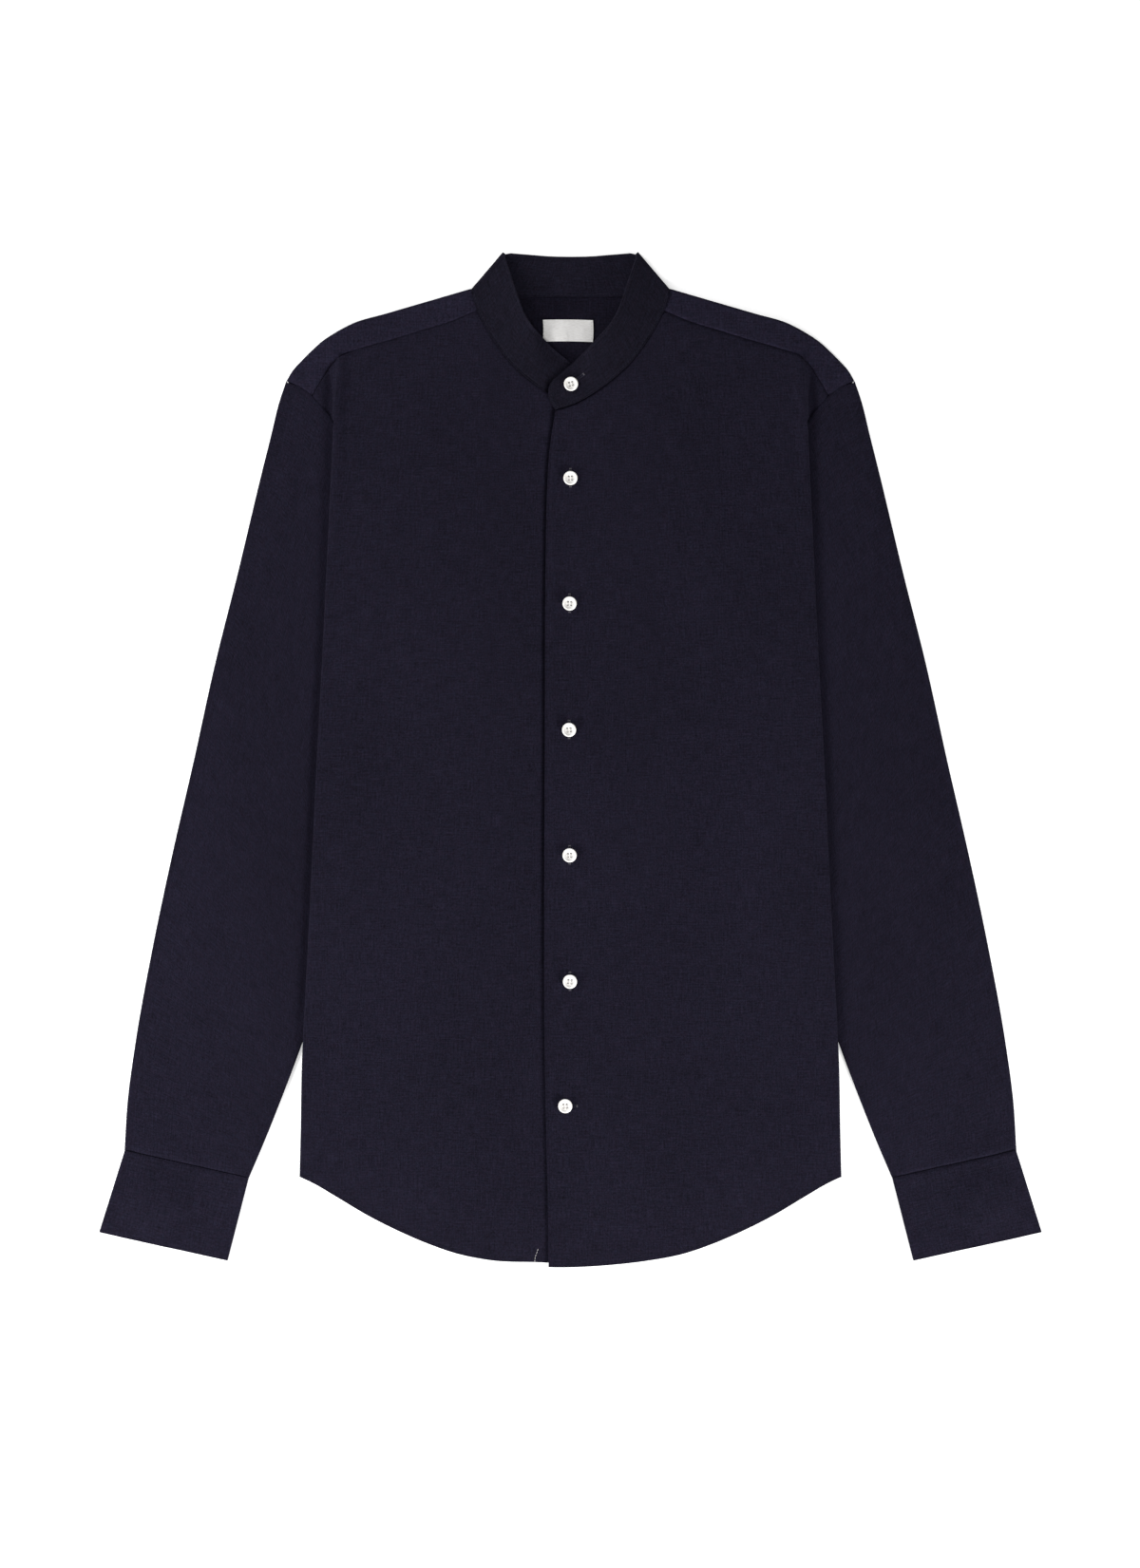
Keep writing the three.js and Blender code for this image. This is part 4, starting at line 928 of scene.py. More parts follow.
def yoke_half():
    """The wearer's left half: up from the front seam, over the shoulder, and in to the middle of the back."""
    seam = np.vstack([
        beside(YOKE_SEAM, spaced(YOKE_SEAM.length, 2.9), HALF_SEAM),
        beside(YOKE_SEAM_END, spaced(YOKE_SEAM_END.length, 2.6)[1:], HALF_SEAM),
    ])
    shares = np.linalg.norm(seam - seam[0], axis=1) / np.linalg.norm(seam[-1] - seam[0])
    armhole_end = share_at_y(ARMHOLE_FRONT, YOKE_CORNER_Y)
    c = np.array(YOKE_ROWS)
    shoulder = SHOULDER(shares)
    plan = mix_points(seam, shoulder, c[:, None])
    neck_bow = beside(NECK_SIDE, c, -HALF_SEAM) - plan[:, 0]
    arm_bow = beside(ARMHOLE_FRONT, armhole_end * (1 - c), -HALF_SEAM) - plan[:, -1]
    plan = plan + neck_bow[:, None] * np.clip(1 - shares / BOW_END, 0, 1)[None, :, None]
    plan = plan + arm_bow[:, None] * np.clip(1 - (1 - shares) / BOW_END, 0, 1)[None, :, None]
    x, y = plan[..., 0], plan[..., 1]
    z = front_height(x, y) - seam_dip(to_line(FRONT_SEAM_LINE, x, y)) - armhole_dip(x, y)
    front = with_height(plan, z)

    inside = beside(SHOULDER, shares, -2 * CLOTH)
    inward = unit(inside - shoulder)
    roll = half_turn(shoulder, inward, front_height(inside[:, 0], inside[:, 1]), FLOOR_PLY, PLY / 2, TURNS)
    roll = np.swapaxes(roll, 0, 1)

    # k runs down the armhole from -1 to 1, and along the seam to the middle of the back at 6
    start = share_at_y(ARMHOLE_BACK, BACK_YOKE_SEAM_Y)
    k = np.concatenate([np.linspace(-0.6, 1, 12), np.linspace(1, 6, 46)[1:]])
    on_armhole = beside(ARMHOLE_BACK, start * np.clip((k + 1) / 2, 0, 1), -HALF_SEAM)
    corner = ARMHOLE_BACK(start)
    on_seam_x = np.interp(k, [1, 2, 3, 4, 5, 6], [1, 0.82, 0.62, 0.42, 0.2, 0]) * corner[0]
    on_seam = np.stack([on_seam_x, corner[1] + HALF_SEAM + 0 * k], -1)
    outer = np.where((k <= 1)[:, None], on_armhole, on_seam)
    neck = NECK_BACK(np.interp(k, [-1, 0, 1, 2, 3, 4, 5, 6], [0, 0.12, 0.22, 0.36, 0.52, 0.68, 0.84, 1]))
    plan = mix_points(neck[:, None], outer[:, None], shares)
    chord = mix_points(SHOULDER(0), SHOULDER(1), shares)
    plan = plan + np.clip(1 - (k + 1) / 4, 0, 1)[:, None, None] * (shoulder - chord)
    return np.concatenate([front, roll, with_height(plan, FLOOR_PLY)])


def build_yoke():
    half = yoke_half()
    grid = np.concatenate([half, mirrored(half[:-1])[::-1]])
    inside = smooth((YOKE_CREASES_TO - grid[..., 1]) / 25) * smooth((grid[..., 1] - YOKE_CREASES_FROM) / 10)
    inside = inside * smooth((CREASES_WITHIN - np.abs(grid[..., 0])) / BACK_CREASE_FADE)
    inside = inside * (grid[..., 2] < FLOOR_PLY + 0.1)
    grid[..., 2] += relief(YOKE_CREASES, grid[..., 0], grid[..., 1]) * inside
    # The yoke's raised front gets a v above the threshold of the painted tone; its part on the surface, seen
    # inside the neck, stays below it and takes the painted shade.
    down = np.where(grid[..., 2] > 2, 2 * PAINTED_INSIDE_V / MM - grid[..., 1], grid[..., 1])
    uv = np.stack([grid[..., 0] + UV_START["yoke"], down], -1)
    yoke = place(shell("Yoke", grid, PLY, uv, NAVY_YOKE_PAINTED_LIGHT_AND_SHADE), "navy_cloth", "yoke")


# Collar
COLLAR_CORNER = np.array([78.1, 366.0])
ON_FRONT = 0.86
COLLAR_STITCH = 0.055  # share of the band's height from its seam and its edge to their stitches
TIP_SHARE = 0.073
COLLAR_TURN = 0.958  # share of the front part at which it turns to the back of the neck
TIP_LINE = np.vstack([COLLAR_END(SHARES), COLLAR_EDGE(0.16 * SHARES)[1:]])
UNDER_TIP = (0.13, 0.36)  # shares of the covered band between which it has close columns
UNDER_SHIFT = 4.4  # the covered band's edge runs this far past the mirrored one at its end
COLLAR_CUT = 30  # height of the band
BACK_START = 0.12  # share of the back of the neck at which the side folds have run out
BAND_SHARES = spaced(COLLAR_CUT, 2, (0.4, 0.9, 1.4, 2, 2.8), (0.4, 0.9, 1.4, 2, 2.8))


def collar_lift(a, v):
    """How far the band stands up, most at its top edge and half way along."""
    return COLLAR_LIFT * v**1.8 * np.abs(np.sin(math.pi * a)) ** 0.35


def collar_height(over, x, a, v):
    """Middle of the front part of the band, at the share a along it and v of its height."""
    if over:
        end, rise, lift_from = COLLAR_OVER, smooth(2 * a - 1), 2
    else:
        end, rise, lift_from = COLLAR_UNDER, smooth((x - 21) / 22), 16
    return mix(end, COLLAR_SIDE, rise) + collar_lift(a, v) * smooth((x - lift_from) / 16)


def collar_plan(over, a, v):
    on_front = beside(NECK_FRONT, np.clip(a / ON_FRONT, 0, 1), HALF_SEAM)
    on_side = beside(NECK_SIDE, np.clip((a - ON_FRONT) / (1 - ON_FRONT), 0, 1), HALF_SEAM)
    seam = np.where((a <= ON_FRONT)[..., None], on_front, on_side)
    tip = COLLAR_END(v) - mix_points(COLLAR_END(0), COLLAR_END(1), v)
    edge = COLLAR_EDGE(a)
    if not over:
        edge = edge - np.array([UNDER_SHIFT, 0]) * (1 - smooth(a / UNDER_TIP[1]))[..., None]
    return mix_points(seam, edge, v) + tip * np.clip(1 - a / TIP_SHARE, 0, 1)[..., None]


def collar_relief(v):
    """The band is sewn along both edges: it sinks at the stitches and is fuller between."""
    sewn = sum(dip((at - COLLAR_STITCH) * COLLAR_CUT, 0.2, 0.8) for at in (v, 1 - v))
    return 0.12 * np.sin(math.pi * v) - sewn


def collar_front(over, a, v):
    """The over end's rim is turned down, and the covered end sinks below it."""
    plan = collar_plan(over, a, v)
    rim = to_line(TIP_LINE * np.array([1 if over else -1, 1]), plan[..., 0], plan[..., 1])
    sunk = dip(rim, 0.5, 1.2) if over else dip(rim, 1.4, 1.9)
    return with_height(plan, collar_height(over, plan[..., 0], a, v) + collar_relief(v) - sunk)


def collar_half(over):
    """Half of the band, from one end round the side of the neck to the middle of its back."""
    v = BAND_SHARES
    if over:
        a = np.concatenate([[0, 0.003, 0.007, 0.012, 0.018], np.linspace(0.026, COLLAR_TURN, 60)])
    else:
        low, high = UNDER_TIP
        a = runs((0, low, 10), (low, high, 54), (high, COLLAR_TURN, 38))
    front = collar_front(over, *np.meshgrid(a, v, indexing="ij"))
    along = unit(COLLAR_EDGE(1) - COLLAR_CORNER)
    inward = np.array([-along[1], along[0]])
    rim = mix_points(COLLAR_CORNER, COLLAR_EDGE(1), v)
    level = COLLAR_SIDE + collar_lift(COLLAR_TURN, v)
    roll = half_turn(rim, inward, level, COLLAR_BACK, COLLAR_WALL / 2, TURNS, reach=1.5)
    roll = np.swapaxes(roll, 0, 1)
    b = np.concatenate([[0.04, 0.08], np.linspace(BACK_START, 1, 26)])
    reached = np.maximum(b, BACK_START)
    foot = NECK_BACK(reached) + np.array([0, HALF_SEAM])
    plan = mix_points(foot[:, None], COLLAR_BACK_EDGE(reached)[:, None], v)
    settled = np.minimum(1, b / BACK_START)[:, None]
    plan = mix_points(roll[-1][None, :, :2], plan, settled)
    return np.concatenate([front, roll, with_height(plan, COLLAR_BACK + collar_relief(v) * settled)])


def build_collar():
    grid = np.concatenate([collar_half(True), mirrored(collar_half(False)[:-1])[::-1]])
    middle = grid[:, grid.shape[1] // 2]
    along = np.concatenate([[0], np.cumsum(np.linalg.norm(np.diff(middle, axis=0), axis=1))])
    u = np.broadcast_to(along[:, None], grid.shape[:2])
    # The back of the band, inside the neck, keeps a v below the threshold of the painted tone and takes its
    # painted light; the rest is moved above it.
    behind = smooth((np.abs(grid[..., 1]) - 340) / 10) * (grid[..., 2] < COLLAR_SIDE - 2)
    v = COLLAR_CUT * BAND_SHARES + UV_START["collar"] + UV_START["inside"] * (1 - behind)
    uv = np.stack([u, v], -1)
    collar = place(shell("Collar", grid, COLLAR_PLY, uv, NAVY_COLLAR_PAINTED_SHADE), "navy_cloth", "collar")


# Sleeves
ARMHOLE_REACH = 0.5
FOLD_VALLEY = {"left": 0.25, "right": 0.95}  # how deep each sleeve sinks beside the body's side fold
INTO_CUFF = 1.004  # the sleeve ends inside the cuff's seam
CUFF_RISE = 30  # the sleeve rises to the top of the cuff over this length
TUCKED = {"depth": 1.25, "width": 1.5}
ROUND_SLEEVE = (0.035, 0.97)  # shares of the armhole at which the flat plies start and end
UPPER_POINTS, LOWER_POINTS = 60, 46
BESIDE_FOLD = {"from": -300, "to": 262, "fade": 20, "width": 2.8}


def sleeve_grid(creases, valley, side_sign):
    """A flattened tube from the armhole to the cuff, ring by ring, and its uv."""
    shares = np.append(spaced(SLEEVE_OUTER.length, 4.1, NEAR_SEAM, (1, 2, 3.2, 5)), INTO_CUFF)
    outer, inner = SLEEVE_OUTER(shares), SLEEVE_INNER(shares)
    inward = unit(inner - outer)
    fade = (1 - smooth(shares / ARMHOLE_REACH)) ** 1.5
    a, b = ARMHOLE_FRONT(0), ARMHOLE_FRONT(1)

    def placed(curve, s):
        root = beside(curve, s, HALF_SEAM)
        chord = ((curve(s) - a) @ (b - a)) / ((b - a) @ (b - a))
        p = mix_points(outer[:, None], inner[:, None], chord)
        return p + fade[:, None, None] * (root - mix_points(a, b, chord))

    plan = placed(ARMHOLE_FRONT, np.linspace(*ROUND_SLEEVE, UPPER_POINTS))
    x, y = plan[..., 0], plan[..., 1]
    folds = relief(creases, x, y) * smooth((x - fold_x(y) - 1) / 12) * smooth(to_line(OUTER_LINE, x, y) / 14)
    clear_cuff = smooth((1 - shares) * SLEEVE_OUTER.length / 26)[:, None]
    gathers = 0.16 * np.sin(np.linspace(0, 1, UPPER_POINTS) * 23 + 1.1) * (1 - clear_cuff)
    gathers = gathers * smooth((1 - shares) * 150)[:, None]
    fold = BESIDE_FOLD
    beside_fold = dip(x - fold_x(y) - 0.2, valley * (1 - 0.65 * smooth((y - 90) / 120)), fold["width"])
    for inside in (fold["to"] - y, y - fold["from"]):
        beside_fold = beside_fold * smooth(inside / fold["fade"])
    z = sleeve_height(x, y) + folds * clear_cuff + gathers - armhole_dip(x, y) - beside_fold
    from_cuff = np.maximum((1 - shares)[:, None] * SLEEVE_OUTER.length, 0)
    across = ((plan - outer[:, None]) * inward[:, None]).sum(-1)
    cuff_top = CUFF_FLOOR + 2 * CUFF_RADIUS + CUFF_LAP_STEP * cuff_lap(across) + 0.1
    z = mix(cuff_top, z, smooth(from_cuff / CUFF_RISE)) - dip(from_cuff, TUCKED["depth"], TUCKED["width"])
    at_rims = dip(across, 1, 3) + dip(across - across[:, -1:], 1, 3)
    upper = with_height(plan, mix(z, SLEEVE_PLY, at_rims))
    lower = with_height(placed(ARMHOLE_BACK, np.linspace(*ROUND_SLEEVE[::-1], LOWER_POINTS)), FLOOR_PLY)
    edge = outer + inward * 2 * CLOTH
    outer_roll = half_turn(outer, inward, sleeve_height(edge[:, 0], edge[:, 1]), FLOOR_PLY, PLY / 2, TURNS)
    inner_roll = half_turn(inner, -inward, SLEEVE_PLY, FLOOR_PLY, PLY / 2, TURNS)
    rings = np.concatenate([upper, inner_roll, lower, outer_roll[:, ::-1]], 1)
    grid = np.swapaxes(rings, 0, 1)
    closed = np.concatenate([grid, grid[:1]])
    v = np.broadcast_to(shares * -SLEEVE_OUTER.length, closed.shape[:2])
    uv = np.stack([arc(closed, 0) + UV_START["sleeve"] * side_sign, v], -1)
    return grid, uv


def build_sleeves():
    for side, sign in (("left", 1), ("right", -1)):
        grid, uv = sleeve_grid(SLEEVE_CREASES[side], FOLD_VALLEY[side], sign)
        tube = shell(f"Sleeve_{side}", grid * np.array([sign, 1, 1]), PLY, uv, NAVY, loop=True)
        place(tube, "navy_cloth", f"sleeve_{side}")


# Cuffs
CUFF_RADIUS = 1.0
CUFF_FLOOR = CUFF_WALL / 2
CUFF_LAP_STEP = CUFF_WALL + 0.35
CUFF_DEPTH = 65
CUFF_BUTTON = {"across": 36, "down": 0.5, "dome": 6, "slope": 27}  # the cloth domes over the hidden button
BUTTON_HEIGHT = 2.4
GAP = 0.3
CUFF_TOP_STITCH = 0.132  # share of the cuff's depth from its seam to the row of stitches below it
CUFF_EDGE_STITCH = 0.04


def cuff_frame(t):
    """At the shares t of the cuff's depth: its outer edge, the direction inwards, and its width."""
    outer = mix_points(*CUFF_CORNERS["outer"], t)
    inner = mix_points(*CUFF_CORNERS["inner"], t)
    width = np.linalg.norm(inner - outer, axis=-1)
    return outer, (inner - outer) / width[..., None], width


def cuff_plan(across, t):
    outer, inward, _ = cuff_frame(t)
    return outer + inward * across[..., None]


def cuff_lap(across):
    return smooth((across - 7) / 14) * (1 - smooth((across - 50) / 16))


def cuff_level(across, t, height):
    """The cuff's cloth at a height, sunk at its stitches and domed over the button."""
    plan = cuff_plan(across, t)
    button = cuff_plan(np.array(float(CUFF_BUTTON["across"])), np.array(CUFF_BUTTON["down"]))
    dome = 1 - smooth((np.linalg.norm(plan - button, axis=-1) - CUFF_BUTTON["dome"]) / CUFF_BUTTON["slope"])
    rows = ((CUFF_TOP_STITCH, 0.16), (1 - CUFF_EDGE_STITCH, 0.16), (0, 0.5))
    sewn = sum(dip((t - at) * CUFF_DEPTH, depth, 0.9) for at, depth in rows)
    sewn = sewn * np.where(height > CUFF_RADIUS, 1, -1)
    return with_height(plan, CUFF_FLOOR + height + (BUTTON_HEIGHT + GAP) * dome - sewn)


def cuff_upper(across, t):
    """The ply on top."""
    return cuff_level(across, t, 2 * CUFF_RADIUS + CUFF_LAP_STEP * cuff_lap(across))


def cuff_grid():
    """A lapped band: from the hidden end over the inner fold, the upper ply, the outer fold, and back."""
    t = spaced(CUFF_DEPTH, 2.6, (0.5, 1.2, 2, 3.2), (0.4, 0.9, 1.5, 2.2, 3))
    rim = CUFF_WALL / 2 + CUFF_RADIUS
    width = cuff_frame(t)[2]

    def level(across, height):
        a, b = np.meshgrid(across, t, indexing="ij")
        return cuff_level(a, b, height(a))

    def turn(at, way, angles):
        a, b = np.meshgrid(angles, t, indexing="ij")
        plan = cuff_plan(at + way * CUFF_RADIUS * np.sin(a), b)
        return with_height(plan, CUFF_FLOOR + CUFF_RADIUS * (1 - np.cos(a)))

    return np.concatenate([
        level(np.linspace(24, 80, 26), lambda a: 0 * a),
        turn(width - rim, 1, TURNS),
        level(np.linspace(88, 8, 36), lambda a: 2 * CUFF_RADIUS + CUFF_LAP_STEP * cuff_lap(a)),
        turn(rim, -1, TURNS[::-1]),
        level(np.linspace(10, 48, 18), lambda a: CUFF_LAP_STEP * smooth((a - 7) / 14)),
    ])


def build_cuffs():
    grid = cuff_grid()
    uv = np.stack([arc(grid, 0), arc(grid, 1) + UV_START["cuff"]], -1)
    for side, sign in (("left", 1), ("right", -1)):
        start = 0 if side == "left" else UV_START["cuff_right"]
        band = shell(f"Cuff_{side}", grid * np.array([sign, 1, 1]), CUFF_PLY, uv + start, NAVY)
        place(band, "navy_cloth", f"cuff_{side}")


# Sewing
UP, DOWN = (0, 0, 1), (0, 0, -1)
STITCH_RINGS = np.array([-0.5, -0.36, 0.36, 0.5])  # shares of its length, along a stitch
STITCH_WAIST = np.array([0.45, 1, 1, 0.45])  # shares of its radius at those rings
STITCH_SIDES = 5


def stitch_mesh(centres, tangents, ups, length, radius):
    """Points and faces of many short threads, each sunk at its ends."""
    tangents = np.broadcast_to(tangents, centres.shape)
    side = unit(np.cross(tangents, ups))
    up = np.cross(side, tangents)
    angles = np.arange(STITCH_SIDES) * 2 * math.pi / STITCH_SIDES
    lift = radius * (0.55 - 1.1 * np.abs(STITCH_RINGS * 2) ** 3)
    ring = centres[:, None] + tangents[:, None] * (STITCH_RINGS * length)[None, :, None]
    ring = ring + up[:, None] * lift[None, :, None]
    spoke = side[:, None] * np.cos(angles)[None, :, None] + up[:, None] * np.sin(angles)[None, :, None]
    points = ring[:, :, None] + spoke[:, None] * (STITCH_WAIST * radius)[None, :, None, None]
    rings, sides = len(STITCH_RINGS), STITCH_SIDES
    faces = []
    for n in range(len(centres)):
        base = n * rings * sides
        for r in range(rings - 1):
            for s in range(sides):
                a, b = base + r * sides + s, base + r * sides + (s + 1) % sides
                faces.append((a, b, b + sides, a + sides))
        faces.append(tuple(base + s for s in reversed(range(sides))))
        faces.append(tuple(base + (rings - 1) * sides + s for s in range(sides)))
    return points.reshape(-1, 3), faces


class Sewing:
    """Collects stitches and makes one piece of them."""

    def __init__(self, name, material, slot="navy_cloth"):
        self.name, self.material, self.slot = name, material, slot
        self.points, self.faces, self.count = [], [], 0

    def add(self, points, faces):
        self.faces += [tuple(i + self.count for i in f) for f in faces]
        self.points.append(points)
        self.count += len(points)

    def row(self, line, pitch=2.6, length=1.9, radius=0.14, up=UP):
        """Stitches along a line of points that lie on the cloth."""
        line = np.asarray(line, float)
        along = np.concatenate([[0], np.cumsum(np.linalg.norm(np.diff(line, axis=0), axis=1))])
        count = max(1, int(along[-1] / pitch))
        at = (np.arange(count) + 0.5) * along[-1] / count

        def spot(d):
            return np.stack([np.interp(d, along, line[:, i]) for i in range(3)], -1)

        tangents = unit(spot(at + 0.4) - spot(at - 0.4))
        self.add(*stitch_mesh(spot(at), tangents, up, length, radius))

    def both(self, line, **options):
        """The same row on the wearer's left and right."""
        self.row(line, **options)
        self.row(mirrored(line), **options)

    def make(self):
        piece = link(self.name, np.concatenate(self.points), self.faces, self.material)
        return place(piece, self.slot)


HEM_ROWS = {"left": (-12, 206, 160), "right": (22, 206, 160), "back": (-158, 158, 160)}
HEM_THREAD_END = {"low": -391.8, "high": -380.8, "x": 27.9, "slant": 0.21, "sway": 0.35}
END_STITCH = 0.012  # share of the collar's front part from its end to the stitches beside it
CUFF_ROWS = {"upper": (4, 96, 80), "under": (26, 96, 60)}


def on_front(front, x, y):
    """The outer face of a front."""
    return np.stack([x, y, front.height(x, y) + PLY / 2], -1)


def sew_hem(left, right):
    hem = Sewing("Hem_stitches", NAVY_THREAD)
    x = np.linspace(*HEM_ROWS["left"])
    hem.row(on_front(left, x, left.hem_y(x) + HEM_STITCH / HEM_SLANT))
    x = np.linspace(*HEM_ROWS["right"])
    hem.row(mirrored(on_front(right, x, right.hem_y(x) + HEM_STITCH / HEM_SLANT)))
    x = np.linspace(*HEM_ROWS["back"])
    y = back_hem_y(np.abs(x)) + HEM_STITCH / HEM_SLANT
    hem.row(np.stack([x, y, back_height(x, y) + PLY / 2], -1))
    hem.make()

    tail = Sewing("Hem_thread_end", PALE_THREAD)
    end = HEM_THREAD_END
    y = np.linspace(end["low"], end["high"], 20)
    x = end["x"] - end["slant"] * (y - end["low"]) + end["sway"] * np.sin((y - end["low"]) / 2.2)
    tail.row(mirrored(on_front(right, x, y)), pitch=2.1, length=1.9, radius=0.13)
    tail.make()


def sew_collar():
    """A row along each edge of the band, and one beside its rounded end."""
    collar = Sewing("Collar_stitches", NAVY_THREAD)
    rows = (COLLAR_STITCH, 1 - COLLAR_STITCH)
    face = np.array([0, 0, COLLAR_PLY / 2])
    a = np.linspace(END_STITCH, COLLAR_TURN, 150)
    for over, sign in ((True, 1), (False, -1)):
        for v in rows:
            line = collar_front(over, a, np.full(len(a), v)) + face
            collar.row(line * np.array([sign, 1, 1]))
    b = np.linspace(BACK_START, 1, 60)
    for v in rows:
        plan = mix_points(NECK_BACK(b), COLLAR_BACK_EDGE(b), v)
        collar.both(with_height(plan, COLLAR_BACK + collar_relief(v)) + face)
    v = np.linspace(0.09, 0.91, 40)
    collar.row(collar_front(True, np.full(len(v), END_STITCH), v) + face)
    collar.make()


def sew_cuffs():
    """Two rows round each cuff."""
    cuffs = Sewing("Cuff_stitches", NAVY_THREAD)
    face = np.array([0, 0, CUFF_PLY / 2])
    for t in (CUFF_TOP_STITCH, 1 - CUFF_EDGE_STITCH):
        across = np.linspace(*CUFF_ROWS["upper"])
        cuffs.both(cuff_upper(across, np.full(len(across), t)) + face)
        across = np.linspace(*CUFF_ROWS["under"])
        cuffs.both(cuff_level(across, np.full(len(across), t), 0) - face, up=DOWN)
    cuffs.make()


BUTTONHOLE_REACH = 6.6  # half the length of a buttonhole
BUTTONHOLE_WIDTH = 1.25


def buttonhole(sewing, bars, centre, degrees, surface):
    """A worked buttonhole: close short stitches round a slit, and a bar in a paler thread at each end."""
    c, s = math.cos(math.radians(degrees)), math.sin(math.radians(degrees))

    def placed(along, across, lift):
        x, y = centre[0] + along * c - across * s, centre[1] + along * s + across * c
        return np.stack([x, y, surface(x, y) + lift], -1)

    along = np.linspace(-BUTTONHOLE_REACH, BUTTONHOLE_REACH, 40)
    across = np.linspace(-0.75, 0.75, 4)
    for side in (-1, 1):
        points = placed(along, side * BUTTONHOLE_WIDTH * 0.55, 0.02)
        sewing.add(*stitch_mesh(points, (-s * side, c * side, 0), UP, 1.25, 0.2))
    for end in (-1, 1):
        points = placed(end * (BUTTONHOLE_REACH + 0.35), across, 0.08)
        bars.add(*stitch_mesh(points, (c, s, 0), UP, 1.3, 0.24))


# Buttons
HOLE_SPREAD = 1.25
STRANDS = (-0.26, 0, 0.26)  # threads from hole to hole, side by side
BUTTON_FLOOR = 1.6  # height of a button's sunk middle
# The profiles of a hole, of the thread under a button and of a button, as radius and height
HOLE_CUTTER = [(0, -1), (0.75, -1), (0.75, 1.5), (0.91, 1.66), (1.05, 4), (0, 4)]
SHANK = [(0, -1.1), (1.5, -1.1), (1.1, -0.4), (1.2, 0.15), (0, 0.15)]
BUTTON_PROFILE = [
    (0, 0), (3.6, 0), (4.5, 0.28), (5.15, 0.78), (5.42, 1.2), (5.5, 1.55), (5.46, 1.9), (5.3, 2.18),
    (5.02, 2.35), (4.7, 2.4), (4.4, 2.33), (4.12, 2.12), (3.85, 1.86), (3.5, 1.7), (2.9, 1.62), (0, 1.6),
]


def turned(profile, segments):
    """Points and faces of a profile of (radius, height) turned about the vertical."""
    points, faces = [], []
    rings = []
    for radius, height in profile:
        if radius == 0:
            rings.append([len(points)])
            points.append((0, 0, height))
            continue
        rings.append(list(range(len(points), len(points) + segments)))
        for k in range(segments):
            angle = 2 * math.pi * k / segments
            points.append((radius * math.cos(angle), radius * math.sin(angle), height))
    for low, high in zip(rings[:-1], rings[1:]):
        for k in range(segments):
            n = (k + 1) % segments
            if len(low) == 1:
                faces.append((low[0], high[n], high[k]))
            elif len(high) == 1:
                faces.append((low[k], low[n], high[0]))
            else:
                faces.append((low[k], low[n], high[n], high[k]))
    return np.array(points, float), faces


def button_mesh():
    """One button, with its four holes cut."""
    blank = link("Button_blank", *turned(BUTTON_PROFILE, 56), PEARL)
    cutter_points, cutter_faces = [], []
    for i, j in ((1, 1), (-1, 1), (-1, -1), (1, -1)):
        points, faces = turned(HOLE_CUTTER, 18)
        base = sum(len(p) for p in cutter_points)
        cutter_points.append(points + np.array([i * HOLE_SPREAD, j * HOLE_SPREAD, 0]))
        cutter_faces += [tuple(k + base for k in f) for f in faces]
    cutter = link("Button_cutter", np.concatenate(cutter_points), cutter_faces, PEARL)
    cut = blank.modifiers.new("holes", "BOOLEAN")
    cut.object, cut.operation, cut.solver = cutter, "DIFFERENCE", "EXACT"
    mesh = bpy.data.meshes.new_from_object(blank.evaluated_get(bpy.context.evaluated_depsgraph_get()))
    mesh.set_sharp_from_angle(angle=math.radians(38))
    for spare in (blank, cutter):
        bpy.data.objects.remove(spare)
    return mesh


def put_button(name, node, mesh, thread, degrees, flip=False):
    """Puts a button and its thread in the place of its solid, and returns that place. `flip` turns it to
    face down."""
    low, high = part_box(node)
    base = ((low.x + high.x) / 2, (low.y + high.y) / 2, high.z if flip else low.z)
    flatter = (high.z - low.z) / (BUTTON_HEIGHT * MM)
    turn = math.radians(degrees)
    button = bpy.data.objects.new(name, mesh)
    bpy.context.scene.collection.objects.link(button)
    button.location = base
    button.rotation_euler = (math.pi if flip else 0, 0, turn)
    button.scale.z = flatter
    place(button, "button", node)

    c, s, facing = math.cos(turn), math.sin(turn), -1 if flip else 1
    base = np.array(base) / MM
    face = base + np.array([0, 0, facing * (BUTTON_FLOOR * flatter + 0.06)])
    for hole in (-HOLE_SPREAD, HOLE_SPREAD):
        for strand in STRANDS:
            centre = face + np.array([c, s, 0]) * (hole + strand)
            tangent, up = (-s, c, 0), (0, 0, facing)
            thread.add(*stitch_mesh(centre[None], tangent, up, 2 * HOLE_SPREAD + 0.7, 0.15))
    points, faces = turned(SHANK, 14)
    thread.add(points * np.array([1, 1, facing]) + base, faces)
    return base[0], base[1]


def on_collar(x, y):
    """Height of the over band's outer face at points near its button."""
    a, v = np.meshgrid(np.linspace(0, 0.3, 120), np.linspace(0.1, 0.9, 60), indexing="ij")
    sample = collar_front(True, a, v).reshape(-1, 3)
    away = np.hypot(sample[:, 0] - np.asarray(x)[..., None], sample[:, 1] - np.asarray(y)[..., None])
    return sample[away.argmin(-1), 2] + COLLAR_PLY / 2


# How far the buttons are turned, in degrees, as the threads in their holes show
COLLAR_BUTTON_TURN = 14
FRONT_BUTTON_TURNS = (4, -3, 6, 2, -5, 3)
CUFF_BUTTON_TURN = 20


